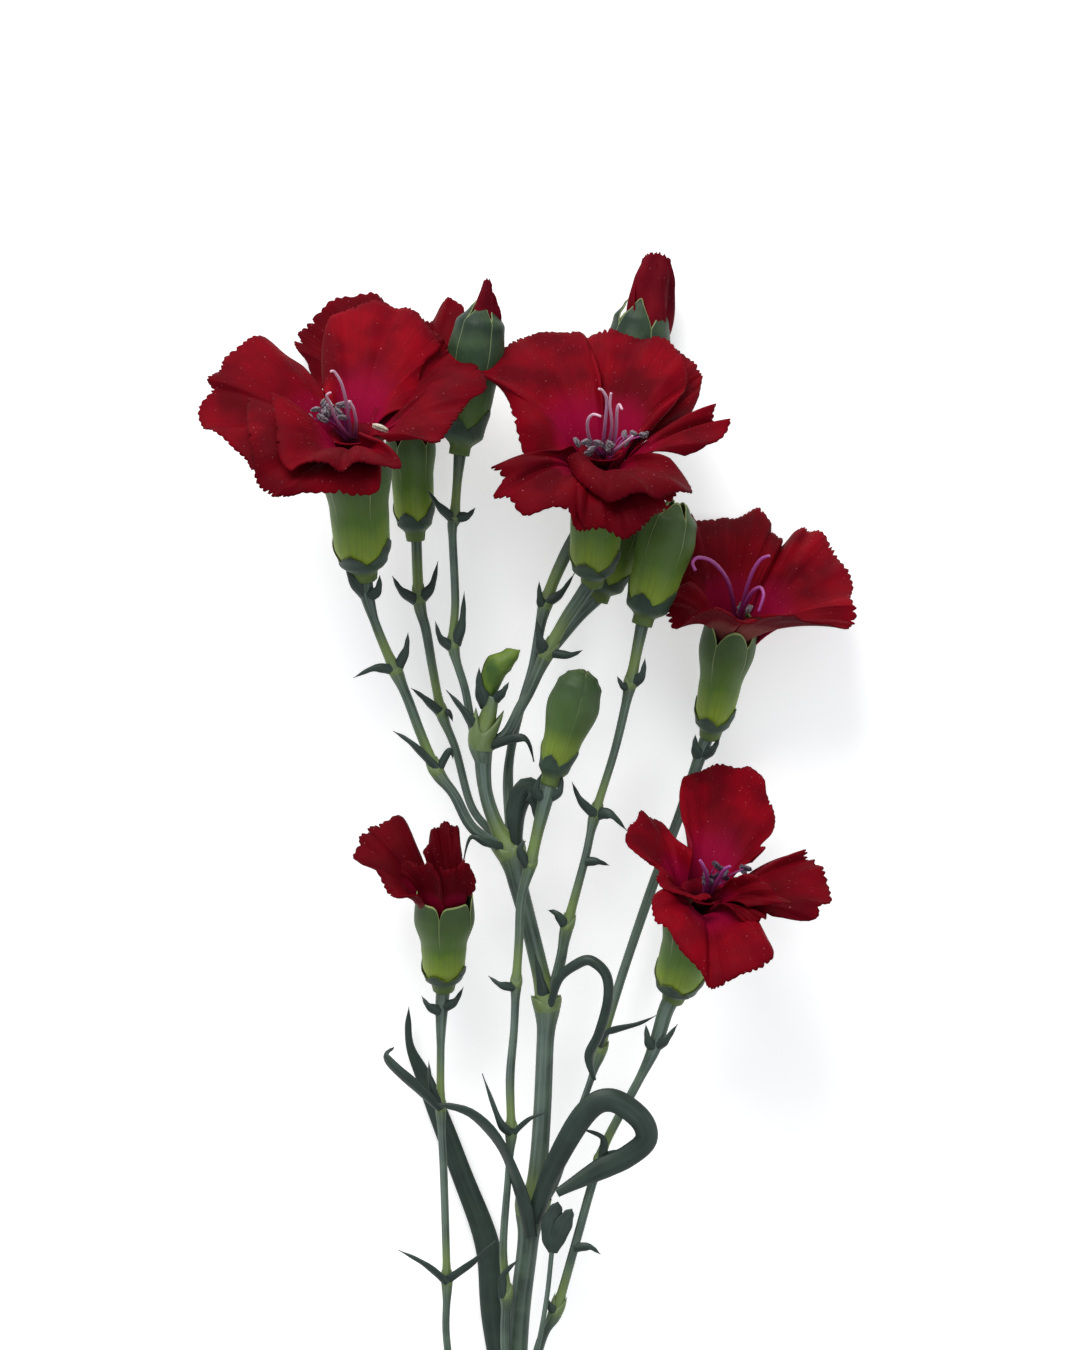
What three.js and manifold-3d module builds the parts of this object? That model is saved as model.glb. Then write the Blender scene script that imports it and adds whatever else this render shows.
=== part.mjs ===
// A cut spray of a single-flowered dark red carnation, lying on a flat surface with its flowers facing up.
//
// Frame: millimetres. +Y runs along the stem towards the flowers, +Z points up from the surface at z = 0,
// and the origin is on the surface below the middle of the spray's bounding box.
import * as THREE from "three";
import { mergeVertices } from "three/addons/utils/BufferGeometryUtils.js";
import Module from "manifold-3d";

const wasm = await Module();
wasm.setup();

// Driving dimensions.
const GAP = 0.3; // free space kept between neighbouring pieces
const SPREAD = 1; // how far the petals reach from the heart of a flower, against their drawn size
const STEM_GIRTH = 1; // thickness of every stem, against its drawn thickness
const PETAL_THICKNESS = 0.9;
const BRACT_THICKNESS = 0.7;
const LEAF_THICKNESS = 1.0;
const CALYX_RADIUS = 6.0; // of an open flower, at the mouth
const CALYX_WALL = 0.8;
const CLAW_LENGTH = 5; // the part of each petal that is held inside the calyx
const PETAL_RISE = 4; // how far a petal follows the calyx before it turns outwards
const STEM_SIDES = 7;
const CALYX_SIDES = 12;

const COLOURS = {
  petal: { color: "#a10d22", roughness: 0.85, metalness: 0 },
  stem: { color: "#7f9a80", roughness: 0.6, metalness: 0 },
  leaf: { color: "#4d6a58", roughness: 0.6, metalness: 0 },
  calyx: { color: "#5f7d3c", roughness: 0.55, metalness: 0 },
  stamen: { color: "#a79aa6", roughness: 0.8, metalness: 0 },
};

// ---------------------------------------------------------------- the plant, as drawn

// Each stem is a list of x, y, z and radius, from its foot to its top; the thick places are its nodes.
// Its bracts are the small leaves that grow at the nodes: a width and a path from the node to the tip.
const STEMS = {
  main_stem: {
    path: [
      [-4.6, -165.0, 2.3, 2.2], [-4.0, -125.0, 3.7, 2.2], [-3.2, -85.0, 6.6, 2.15],
      [-2.0, -53.0, 9.6, 2.1], [-0.2, -36.0, 11.8, 2.1], [0.6, -28.2, 12.5, 3.0],
      [1.6, -23.0, 13, 2.0], [2.4, -15.0, 13.6, 1.85], [3.0, -5.0, 14.3, 1.8],
      [3.4, 5.0, 15.1, 1.75], [3.8, 13.4, 15.7, 2.6], [3.0, 18.0, 16.2, 1.8], [0.4, 29.0, 17, 1.7],
      [-2.0, 38.0, 17.6, 1.9], [-3.2, 44.0, 18, 2.8], [-6.4, 50.0, 18.5, 1.5],
      [-8.6, 57.0, 19, 1.4], [-9.2, 65.8, 19.5, 1.9],
    ],
    bracts: [
      {
        width: 3.2,
        path: [
          [0.4, -31.4, 13.5], [-2.6, -22.0, 17], [-5.6, -14.0, 19], [-11.6, -8.0, 19],
          [-18.2, -6.6, 17],
        ],
      },
      { width: 2.4, path: [[3.8, 12.2, 17], [2.6, 18.0, 18.5], [1.4, 24.0, 18.5]] },
      {
        width: 4.0,
        path: [
          [-1.8, 44.6, 20], [-2.0, 52.6, 22], [-0.2, 57.0, 22.5], [2.0, 55.0, 22],
          [2.6, 49.0, 20.5],
        ],
      },
      { width: 1.6, path: [[-4.6, 45.0, 20], [-8.6, 46.4, 21.5], [-11.6, 47.4, 21], [-13.0, 42.4, 20]] },
      { width: 2.4, path: [[-8.8, 65.8, 21], [-12.4, 72.0, 22], [-16.4, 77.0, 20.5]] },
      { width: 1.8, path: [[-8.0, 65.4, 21], [-0.8, 67.4, 23], [1.2, 62.6, 21]] },
    ],
  },
  left_flower_stem: {
    path: [
      [-3.2, 44.6, 18.5, 1.2], [-10.8, 49.0, 20, 1.2], [-14.8, 56.0, 21, 1.15],
      [-18.2, 60.6, 21.5, 1.5], [-21.4, 68.0, 22, 1.1], [-24.0, 75.0, 22.2, 1.1],
      [-26.4, 80.6, 22.4, 1.5], [-28.6, 85.4, 22.5, 1.05], [-30.8, 91.0, 22.7, 1.0],
      [-32.2, 96.0, 23, 1.6], [-32.8, 100.4, 23.2, 1.8],
    ],
    bracts: [
      { width: 1.8, path: [[-18.2, 60.6, 22.5], [-23.0, 66.0, 23.5], [-27.0, 68.8, 22]] },
      { width: 1.4, path: [[-17.6, 61.4, 22.5], [-15.6, 65.0, 23], [-15.0, 63.0, 22]] },
      { width: 1.8, path: [[-26.4, 80.6, 23.4], [-30.6, 81.4, 24], [-35.0, 79.4, 22.5]] },
      { width: 1.8, path: [[-26.0, 81.4, 23.4], [-24.4, 85.0, 24], [-24.0, 88.6, 23]] },
      { width: 2.2, path: [[-32.4, 95.6, 24], [-35.2, 99.0, 25], [-36.6, 103.4, 24.5]] },
      { width: 2.2, path: [[-32.0, 95.8, 24.4], [-30.0, 97.0, 25.5], [-29.6, 100.0, 26]] },
    ],
  },
  rear_flower_stem: {
    path: [
      [-4.0, 45.0, 16, 0.9], [-8.0, 49.0, 14.5, 0.9], [-11.6, 54.0, 13.4, 0.9],
      [-14.6, 65.0, 12, 0.9], [-17.4, 72.2, 11.2, 1.3], [-19.2, 81.0, 10.6, 1.0],
      [-20.6, 89.0, 9.8, 1.1], [-22.0, 95.0, 9.4, 1.4], [-22.6, 108.2, 9.2, 1.2],
    ],
    bracts: [
      { width: 1.8, path: [[-17.6, 71.8, 12], [-20.6, 75.0, 13], [-23.6, 77.4, 12]] },
      { width: 1.4, path: [[-17.2, 72.6, 12], [-15.8, 72.2, 12.5], [-15.2, 70.6, 11.5]] },
      { width: 2.0, path: [[-22.2, 94.6, 10.4], [-25.6, 97.0, 11], [-27.4, 100.0, 10]] },
      { width: 2.0, path: [[-21.8, 95.0, 10.4], [-19.4, 98.0, 10.4], [-18.2, 103.0, 9.4]] },
    ],
  },
  centre_flower_stem: {
    path: [
      [-9.2, 65.8, 19.8, 1.2], [-4.6, 68.0, 20.3, 1.2], [-1.6, 73.4, 20.2, 1.2],
      [0.4, 77.0, 20, 1.2], [3.6, 84.0, 19.6, 1.6], [7.4, 91.0, 19.4, 1.3], [10.4, 95.4, 19.3, 1.5],
      [12.8, 99.0, 19.4, 1.7],
    ],
    bracts: [
      { width: 2.2, path: [[3.4, 83.6, 20.6], [2.4, 87.0, 21.5], [1.6, 91.4, 21]] },
      { width: 1.6, path: [[4.4, 84.6, 20.6], [8.4, 84.0, 21], [11.0, 85.0, 20]] },
    ],
  },
  hidden_flower_stem: {
    path: [
      [3.6, 83.6, 18, 1.0], [6.4, 87.0, 16.5, 1.0], [10.4, 92.0, 14.5, 1.2], [14.4, 96.0, 13, 1.5],
    ],
    bracts: [],
  },
  tall_bud_stem: {
    path: [
      [-3.2, 45.8, 17, 1.1], [-4.0, 57.0, 15.2, 1.1], [-3.6, 64.0, 14.6, 0.9],
      [-1.6, 73.0, 14, 0.9], [1.0, 82.0, 12.8, 0.9], [3.4, 94.0, 11.4, 1.4], [7.4, 104.0, 9.8, 1.3],
      [13.4, 115.0, 8.2, 1.3], [18.8, 125.4, 7, 1.6],
    ],
    bracts: [
      { width: 1.8, path: [[3.2, 93.6, 12.6], [2.4, 95.4, 13], [2.2, 99.0, 12.3]] },
      { width: 1.8, path: [[3.8, 94.4, 12.6], [6.8, 96.6, 12.4], [9.4, 100.6, 11]] },
    ],
  },
  left_bud_stem: {
    path: [
      [-9.6, 66.6, 19.5, 0.9], [-11.0, 68.6, 19.5, 0.9], [-12.6, 77.0, 19.3, 0.9],
      [-15.0, 85.8, 19, 1.3], [-14.6, 95.0, 18.6, 0.9], [-15.2, 109.0, 18.2, 0.9],
      [-14.8, 111.4, 18, 1.3], [-14.2, 119.0, 17.8, 1.0], [-13.6, 125.2, 17.6, 1.5],
    ],
    bracts: [
      { width: 1.8, path: [[-15.2, 85.4, 20], [-17.6, 87.4, 20.5], [-18.6, 90.8, 19.5]] },
      { width: 2.0, path: [[-14.6, 86.0, 20], [-13.2, 90.6, 20], [-12.8, 96.8, 18.8]] },
      { width: 1.8, path: [[-15.0, 111.0, 19], [-18.0, 114.0, 19.2], [-20.2, 117.2, 18]] },
      { width: 1.8, path: [[-14.4, 111.6, 19], [-12.0, 112.0, 19], [-10.6, 113.6, 18]] },
    ],
  },
  green_bud_stem: {
    path: [
      [-3.2, -81.0, 9.5, 1.0], [-4.6, -55.0, 12.2, 1.0], [-4.4, -45.0, 13.2, 1.3],
      [-5.0, -35.0, 14.6, 0.8], [-4.0, -21.0, 16.3, 0.7], [-3.4, -12.0, 17.6, 1.2],
      [-3.6, -1.0, 18.6, 0.9], [-2.8, 9.0, 20, 0.8], [-2.4, 18.0, 21, 1.1], [-1.8, 27.0, 22.1, 0.9],
      [-1.4, 35.0, 23, 0.9], [0.4, 42.0, 24, 1.3], [2.0, 49.0, 25, 1.2], [3.6, 55.6, 25.7, 1.6],
      [4.4, 59.2, 26, 1.8],
    ],
    bracts: [
      { width: 1.8, path: [[-4.6, -45.4, 14.3], [-5.0, -41.0, 15.5], [-1.8, -37.4, 16]] },
      { width: 2.0, path: [[-3.6, -12.4, 18.7], [-5.8, -9.4, 20], [-9.2, 0.0, 18.5]] },
      { width: 1.2, path: [[-3.0, -12.4, 18.5], [0.4, -9.0, 19.8], [4.2, -7.6, 19.5]] },
      { width: 1.6, path: [[-2.6, 17.4, 22], [-5.6, 18.0, 22.8], [-8.0, 19.8, 22]] },
      { width: 1.8, path: [[0.2, 41.4, 25], [-1.6, 45.0, 26], [-0.4, 47.0, 26]] },
      { width: 1.8, path: [[3.4, 55.2, 26.8], [1.6, 57.0, 28], [2.8, 60.6, 28.4]] },
      { width: 1.8, path: [[4.2, 55.4, 26.6], [6.4, 57.0, 27.2], [6.8, 60.6, 27]] },
    ],
  },
  open_bud_stem: {
    path: [
      [3.8, 12.6, 16.4, 1.2], [6.4, 22.0, 17.4, 1.2], [7.8, 29.4, 18.2, 1.4], [11.4, 43.0, 20, 0.9],
      [13.4, 52.0, 21.2, 1.3], [17.4, 65.0, 22.4, 0.9], [20.4, 78.0, 23.4, 1.4],
      [21.8, 85.0, 23.8, 1.2], [23.0, 90.8, 24, 1.5],
    ],
    bracts: [
      { width: 1.8, path: [[7.6, 29.0, 19.2], [5.8, 32.0, 20], [4.0, 32.8, 19]] },
      { width: 1.8, path: [[13.4, 51.6, 22.3], [10.4, 55.0, 23.5], [8.8, 58.6, 22.5]] },
      { width: 2.0, path: [[14.0, 52.2, 22.3], [16.8, 52.0, 23.5], [19.8, 48.8, 22.5]] },
      { width: 1.6, path: [[11.4, 42.6, 21], [14.0, 42.6, 21.5], [16.4, 41.8, 20.5]] },
      { width: 1.6, path: [[20.2, 77.6, 24.4], [18.8, 78.0, 25], [17.8, 79.8, 24.4]] },
      { width: 2.0, path: [[20.8, 78.2, 24.4], [22.8, 80.0, 25], [23.4, 83.4, 25]] },
    ],
  },
  right_flower_stem: {
    path: [
      [0.4, -30.2, 12.3, 1.1], [5.0, -23.0, 12.3, 1.1], [8.2, -14.0, 11.6, 0.9],
      [12.2, -3.0, 11, 0.8], [14.4, 4.0, 10.4, 1.6], [17.8, 15.6, 9.4, 1.1], [20.8, 24.8, 8.6, 1.1],
      [25.4, 38.0, 7.4, 1.2], [30.4, 51.0, 6.7, 1.2], [34.8, 63.6, 6.4, 1.5],
      [36.6, 68.6, 6.6, 1.7],
    ],
    bracts: [
      { width: 1.6, path: [[14.8, 5.0, 11.6], [16.4, 8.0, 13], [22.4, 9.8, 13.5], [25.8, 11.4, 12.5]] },
      { width: 2.0, path: [[34.6, 63.2, 7.6], [33.8, 65.4, 8.4], [33.8, 68.0, 7.8]] },
      { width: 2.0, path: [[35.2, 63.6, 7.4], [37.4, 65.0, 7.9], [38.8, 67.4, 7.2]] },
    ],
  },
  lower_right_flower_stem: {
    path: [
      [-2.6, -75.0, 8.5, 1.0], [2.4, -55.0, 11.2, 1.0], [5.6, -48.2, 12.2, 1.4],
      [9.4, -35.0, 14.4, 0.9], [12.4, -24.0, 16, 0.9], [14.4, -17.6, 17, 1.3],
      [16.2, -12.6, 17.6, 0.9], [22.4, -1.0, 18.6, 0.9], [25.4, 5.4, 19.2, 1.4],
      [27.6, 12.6, 19.6, 1.6], [29.2, 15.8, 19.8, 1.8],
    ],
    bracts: [
      { width: 1.6, path: [[5.4, -48.6, 13.4], [4.4, -47.0, 14.2], [3.4, -45.0, 14]] },
      { width: 1.6, path: [[9.2, -35.4, 15.3], [12.4, -35.0, 16], [14.6, -36.6, 15]] },
      { width: 1.6, path: [[14.2, -18.0, 18], [15.0, -13.0, 19.5], [10.4, -11.0, 19]] },
      { width: 1.6, path: [[14.8, -17.2, 18], [18.4, -16.0, 19], [21.8, -17.4, 18]] },
      { width: 2.0, path: [[25.2, 5.0, 20.4], [24.0, 7.0, 21.2], [23.6, 10.0, 20.6]] },
      { width: 2.0, path: [[25.8, 5.4, 20.4], [27.8, 7.0, 21], [30.0, 10.0, 20]] },
    ],
  },
  half_open_flower_stem: {
    path: [
      [-5.6, -113.0, 4.8, 0.9], [-13.2, -75.0, 6.9, 0.8], [-16.4, -55.0, 8.6, 0.75],
      [-16.4, -42.6, 9.8, 1.1], [-17.0, -21.0, 11.4, 0.8], [-17.6, -7.4, 12.6, 1.1],
      [-17.6, 5.0, 13.6, 0.8], [-17.4, 12.6, 14.3, 1.3], [-17.0, 17.8, 14.8, 1.5],
    ],
    bracts: [
      {
        width: 2.4,
        path: [
          [-17.8, -7.8, 13.5], [-23.6, -2.0, 16], [-28.6, 3.0, 14.5], [-27.0, 5.0, 13.5],
        ],
      },
      { width: 1.4, path: [[-18.0, -7.0, 13.6], [-19.6, -2.0, 15], [-20.0, 2.4, 14.2]] },
      { width: 1.8, path: [[-17.6, 12.2, 15.6], [-20.0, 13.4, 16.2], [-21.4, 15.4, 15.4]] },
      { width: 1.8, path: [[-17.0, 13.0, 15.6], [-14.6, 14.4, 16], [-13.0, 17.2, 15]] },
      { width: 1.8, path: [[-16.6, -43.0, 10.8], [-20.6, -39.0, 12], [-26.2, -36.0, 10.8]] },
      { width: 1.8, path: [[-16.0, -42.4, 10.8], [-10.6, -38.0, 12.6], [-6.6, -34.0, 12.6]] },
    ],
  },
  small_bud_stem: {
    path: [
      [-0.8, -65.4, 11.4, 0.5], [2.0, -55.0, 14.0, 0.5], [3.8, -45.0, 15.2, 0.5],
      [4.8, -35.8, 16, 0.5], [5.6, -30.6, 16.4, 0.6],
    ],
    bracts: [],
  },
};

// The large leaves, from the node that each grows on to its tip.
const LEAVES = [
  {
    name: "long_leaf",
    width: 4.8,
    path: [
      [-2.8, -75.4, 5.6], [-6.6, -51.0, 3.4], [-8.2, -36.0, 3], [-13.6, -21.0, 2.6],
      [-20.6, -3.0, 2.6], [-24.0, 5.0, 3.2], [-24.2, 12.8, 4],
    ],
  },
  {
    name: "curled_leaf",
    width: 3.8,
    path: [
      [1.2, -30.2, 15.4], [5.0, -19.4, 20], [11.4, -8.0, 24], [16.6, -5.0, 25], [22.4, -8.6, 24],
      [23.8, -13.0, 22], [20.0, -16.6, 20.5], [14.2, -19.4, 19.5], [5.8, -24.0, 19],
    ],
  },
  {
    name: "arched_leaf",
    width: 2.0,
    path: [
      [4.6, 13.4, 18.2], [6.4, 19.0, 21], [9.8, 22.0, 23], [12.8, 22.8, 24], [15.8, 20.0, 24],
      [16.2, 15.0, 22.6], [14.4, 8.0, 20], [12.4, 3.4, 18.4], [13.4, -1.4, 17.4],
    ],
  },
];

// Buds: an open one still shows petals between its teeth, a closed one shows none.
const BUDS = [
  { name: "tall_bud", base: [19.6, 126.6, 6.9], top: [23.4, 155.0, 7.2], radius: 6.3, open: true },
  { name: "left_bud", base: [-13.6, 125.8, 17.8], top: [-9.0, 153.4, 20.3], radius: 5.4, open: true },
  { name: "green_bud", base: [4.6, 59.6, 26], top: [11.4, 80.6, 29], radius: 5.7, open: false },
  { name: "open_bud", base: [23.2, 91.6, 24.2], top: [29.6, 113.4, 27.2], radius: 6.2, open: true },
  { name: "hidden_bud", base: [14.6, 96.4, 13], top: [20.8, 114.6, 15], radius: 5.2, open: true },
];

// The rolled petals that show above the teeth of the opening buds.
const TIPS = [
  { name: "tall_bud_petals", base: [20.4, 132.6, 7], top: [24.4, 165.0, 7.8], radius: 4.8 },
  { name: "left_bud_petals", base: [-12.8, 130.6, 18.2], top: [-7.8, 159.4, 21], radius: 3.3 },
  { name: "hidden_bud_petals", base: [15.8, 100.0, 13.4], top: [23.0, 120.6, 15.8], radius: 3.7 },
];

// Open flowers. Petals are drawn about the heart, where the styles come out, in the order in which they give
// way to each other: sector is the part of the calyx mouth that a petal grows from, in degrees, ring its
// distance from the middle of the mouth, bow how far it arches up on its way, and rim its outer edge,
// followed the same way round as the sector.
const FLOWERS = [
  {
    name: "left_flower",
    girth: 1.03,
    base: [-32.8, 100.8, 23.5],
    mouth: [-34.4, 124.6, 35.5],
    heart: [-36.6, 130.0, 38],
    styles: [-38.2, 139.4, 34],
    petals: [
      {
        name: "front",
        sector: [135, 60],
        ring: 2.4,
        bow: 5,
        rim: [
          [-13.8, 3.4, 8], [-12.8, -5.0, 14], [-9.0, -9.2, 18], [-2.4, -9.6, 20], [3.0, -8.2, 20],
          [11.4, -9.6, 18], [9.4, -5.6, 12],
        ],
      },
      {
        name: "lower_back",
        sector: [145, 50],
        ring: 4.3,
        bow: 7,
        rim: [
          [-19.0, 2.0, 4], [-18.2, -6.0, 10], [-16.6, -12.0, 12], [-12.2, -15.8, 15],
          [-7.6, -14.6, 16], [0.0, -14.2, 17], [7.2, -13.8, 15], [7.8, -9.8, 11],
        ],
      },
      {
        name: "left",
        sector: [225, 165],
        ring: 3.6,
        bow: 3,
        rim: [
          [-7.4, 11.4, -11], [-12.4, 14.6, -12], [-19.6, 16.4, -11], [-24.8, 11.4, -8],
          [-29.0, 4.0, -3], [-27.8, -0.6, 1], [-21.0, -5.8, 5],
        ],
      },
      {
        name: "right",
        sector: [350, 385],
        ring: 3.4,
        bow: 3,
        rim: [
          [22.4, 15.8, -13], [27.0, 10.8, -9], [28.6, 6.8, -5], [24.6, 4.6, -1], [21.4, -1.0, 4],
          [16.0, -4.8, 8],
        ],
      },
      {
        name: "top",
        sector: [250, 300],
        ring: 3.4,
        bow: 3,
        rim: [
          [-4.0, 10.0, -9], [-4.6, 16.0, -14], [-2.4, 23.0, -18], [2.4, 24.6, -20],
          [10.0, 23.4, -20], [17.0, 18.6, -17], [17.0, 14.6, -13], [14.0, 8.0, -8],
        ],
      },
      {
        name: "mid_right",
        sector: [318, 342],
        ring: 4.2,
        bow: 3,
        rim: [
          [17.6, 20.6, -22], [20.4, 16.4, -20], [22.6, 9.8, -16], [20.6, 5.0, -12],
        ],
      },
    ],
  },
  {
    name: "rear_flower",
    girth: 0.85,
    base: [-22.8, 108.8, 9.2],
    mouth: [-23.8, 130.0, 13.6],
    heart: [-27.2, 135.0, 15.8],
    petals: [
      {
        name: "top_right",
        sector: [262, 318],
        ring: 3.4,
        bow: 2,
        rim: [
          [-8.4, 21.6, -15], [-1.4, 20.6, -15.5], [4.0, 19.4, -15], [10.2, 20.2, -14],
          [14.2, 18.8, -12], [13.2, 12.0, -8],
        ],
      },
      {
        name: "top_left",
        sector: [255, 200],
        ring: 3.4,
        bow: 2,
        rim: [
          [-9.4, 21.2, -14], [-14.4, 19.4, -14], [-19.2, 16.0, -13], [-20.4, 12.0, -11],
          [-16.0, 4.4, -7],
        ],
      },
    ],
  },
  {
    name: "centre_flower",
    girth: 0.95,
    base: [13.0, 99.6, 19.5],
    mouth: [14.4, 121.4, 31.5],
    heart: [15.4, 126.0, 34],
    styles: [15.0, 135.0, 32],
    petals: [
      {
        name: "front",
        sector: [110, 30],
        ring: 2.4,
        bow: 8,
        rim: [
          [-6.6, -5.0, 10], [-2.2, -10.0, 15], [1.4, -11.8, 17], [6.0, -11.0, 18],
          [10.2, -11.8, 17], [17.0, -9.8, 13], [15.0, -6.2, 8],
        ],
      },
      {
        name: "bottom",
        sector: [115, 55],
        ring: 4.2,
        bow: 6,
        rim: [
          [-4.4, -17.2, 14], [0.0, -17.0, 15], [4.6, -19.4, 15], [8.0, -16.6, 14],
          [11.0, -13.4, 12], [13.8, -11.0, 9],
        ],
      },
      {
        name: "lower_left",
        sector: [190, 130],
        ring: 3.6,
        bow: 6,
        rim: [
          [-13.0, -2.2, 2], [-19.0, -3.6, 3], [-23.0, -5.8, 5], [-22.2, -10.2, 9],
          [-16.2, -14.8, 13], [-11.6, -13.4, 15], [-6.2, -17.0, 15],
        ],
      },
      {
        name: "right_narrow",
        sector: [350, 375],
        ring: 3.4,
        bow: 2,
        rim: [
          [18.4, 5.0, -6], [22.0, 7.4, -5], [25.0, 4.8, -2], [23.4, 1.0, 1], [17.8, -1.8, 4],
        ],
      },
      {
        name: "upper_left",
        sector: [205, 268],
        ring: 3.5,
        bow: 4,
        rim: [
          [-16.6, 1.0, -2], [-19.6, 8.2, -6], [-24.6, 13.6, -9], [-23.0, 17.4, -12],
          [-17.4, 22.2, -17], [-13.8, 23.2, -18], [-8.6, 22.6, -18], [-3.0, 20.0, -16],
        ],
      },
      {
        name: "upper_right",
        sector: [272, 325],
        ring: 3.4,
        bow: 3,
        rim: [
          [-2.6, 21.8, -18], [0.2, 23.6, -19], [4.0, 22.4, -18.5], [8.2, 20.8, -17],
          [12.0, 21.4, -16], [15.2, 18.6, -13], [16.4, 12.8, -8], [14.2, 9.0, -5],
        ],
      },
      {
        name: "right_behind",
        sector: [305, 335],
        ring: 4.4,
        bow: 2,
        rim: [
          [15.6, 17.8, -20], [19.0, 15.4, -17], [19.6, 13.0, -15], [18.4, 8.4, -12],
          [15.8, 5.0, -10],
        ],
      },
    ],
  },
  {
    name: "right_flower",
    girth: 0.98,
    base: [37.0, 69.0, 7.2],
    mouth: [40.4, 87.4, 17.8],
    heart: [42.4, 93.0, 20.3],
    styles: [41.2, 100.6, 18.4],
    petals: [
      {
        name: "lower_right",
        sector: [30, 100],
        ring: 3.5,
        bow: 5,
        rim: [
          [22.8, -2.0, 4], [19.6, -4.2, 8], [15.0, -2.4, 11], [10.0, -1.8, 12], [5.0, -2.0, 13],
        ],
      },
      {
        name: "right",
        sector: [310, 372],
        ring: 3.5,
        bow: 3,
        rim: [
          [8.2, 12.8, -15], [11.4, 16.0, -18], [17.0, 15.4, -17], [20.4, 11.4, -13],
          [22.8, 6.4, -7], [23.4, 0.4, -1],
        ],
      },
      {
        name: "left",
        sector: [195, 120],
        ring: 3.5,
        bow: 4,
        rim: [
          [-13.2, 3.6, -2], [-15.6, 1.0, 0], [-14.4, -2.4, 3], [-12.6, -3.4, 6], [-8.0, -0.8, 10],
          [-1.6, -2.0, 13],
        ],
      },
      {
        name: "back_left",
        sector: [215, 300],
        ring: 3.5,
        bow: 3,
        rim: [
          [-12.4, 5.6, -7], [-11.8, 12.4, -12], [-10.0, 18.8, -17], [-6.0, 18.0, -18],
          [-1.6, 19.6, -20], [3.4, 20.6, -20], [6.0, 19.0, -18], [9.0, 14.8, -14], [7.6, 10.8, -10],
        ],
      },
    ],
  },
  {
    name: "lower_right_flower",
    girth: 0.95,
    base: [29.4, 16.2, 20],
    mouth: [34.0, 34.0, 31.5],
    heart: [36.0, 38.0, 34],
    petals: [
      {
        name: "lower",
        sector: [145, 45],
        ring: 3.5,
        bow: 7,
        rim: [
          [-11.2, -1.8, 8], [-11.6, -6.8, 12], [-8.0, -9.0, 15], [-5.2, -13.4, 18],
          [0.6, -19.0, 20], [4.4, -17.2, 20], [9.6, -16.2, 18], [12.4, -13.2, 15], [9.4, -7.0, 10],
        ],
      },
      {
        name: "right",
        sector: [335, 385],
        ring: 3.5,
        bow: 4,
        rim: [
          [11.2, 2.2, -8], [14.8, 5.2, -9], [20.2, 7.2, -7], [22.8, 2.8, -3], [24.0, -3.2, 3],
          [21.4, -5.6, 6], [14.4, -5.6, 8],
        ],
      },
      {
        name: "left",
        sector: [225, 160],
        ring: 3.5,
        bow: 3,
        rim: [
          [-5.6, 8.6, -7], [-9.2, 12.6, -10], [-13.4, 14.8, -9], [-15.2, 11.4, -5],
          [-16.8, 7.8, -1], [-13.6, 5.4, 3], [-10.4, 3.8, 6], [-9.6, -0.6, 8],
        ],
      },
      {
        name: "top",
        sector: [240, 320],
        ring: 3.5,
        bow: 2,
        rim: [
          [-4.0, 10.0, -7], [-5.6, 16.6, -12], [-5.0, 21.6, -16], [-1.2, 23.4, -19],
          [2.8, 24.0, -20], [8.4, 22.8, -20], [11.8, 20.2, -17], [13.6, 13.4, -11], [10.8, 7.0, -7],
        ],
      },
    ],
  },
  {
    name: "half_open_flower",
    girth: 0.98,
    base: [-17.0, 18.2, 15],
    mouth: [-16.8, 32.2, 22],
    heart: [-19.6, 38.0, 24],
    petals: [
      {
        name: "front",
        sector: [125, 70],
        ring: 2.9,
        bow: 3,
        rim: [
          [-5.6, 7.8, 3], [-4.4, 4.6, 6], [-1.0, 5.2, 7], [2.0, 3.4, 6],
        ],
      },
      {
        name: "right",
        sector: [345, 415],
        ring: 3.2,
        bow: 3,
        rim: [
          [6.4, 4.6, -2], [8.4, 2.2, 0], [8.8, 0.2, 3], [6.4, -0.6, 5],
        ],
      },
      {
        name: "left",
        sector: [230, 160],
        ring: 3.2,
        bow: 3,
        rim: [
          [-3.6, 7.8, -7], [-6.0, 11.8, -9], [-9.4, 12.2, -9], [-13.6, 10.6, -7], [-15.2, 7.0, -4],
          [-12.4, 3.4, 0], [-8.8, -0.6, 3],
        ],
      },
      {
        name: "upper",
        sector: [250, 330],
        ring: 3.2,
        bow: 2,
        rim: [
          [-1.2, 7.0, -5], [0.0, 11.2, -7], [2.8, 12.4, -8], [5.6, 11.2, -7], [6.6, 7.0, -4],
        ],
      },
    ],
  },
];

// ---------------------------------------------------------------- geometry helpers

function vector([x, y, z]) {
  return new THREE.Vector3(x, y, z);
}

function smoothCurve(points) {
  return new THREE.CatmullRomCurve3(points, false, "centripetal");
}

// Moves each vertex of a geometry to wherever the given function puts it.
function reshape(geometry, move) {
  const position = geometry.getAttribute("position");
  const vertex = new THREE.Vector3();
  for (let i = 0; i < position.count; i++) {
    const moved = move(vertex.fromBufferAttribute(position, i).clone());
    position.setXYZ(i, moved.x, moved.y, moved.z);
  }
  geometry.deleteAttribute("normal");
  geometry.deleteAttribute("uv");
  return mergeVertices(geometry, 1e-4);
}

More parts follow.
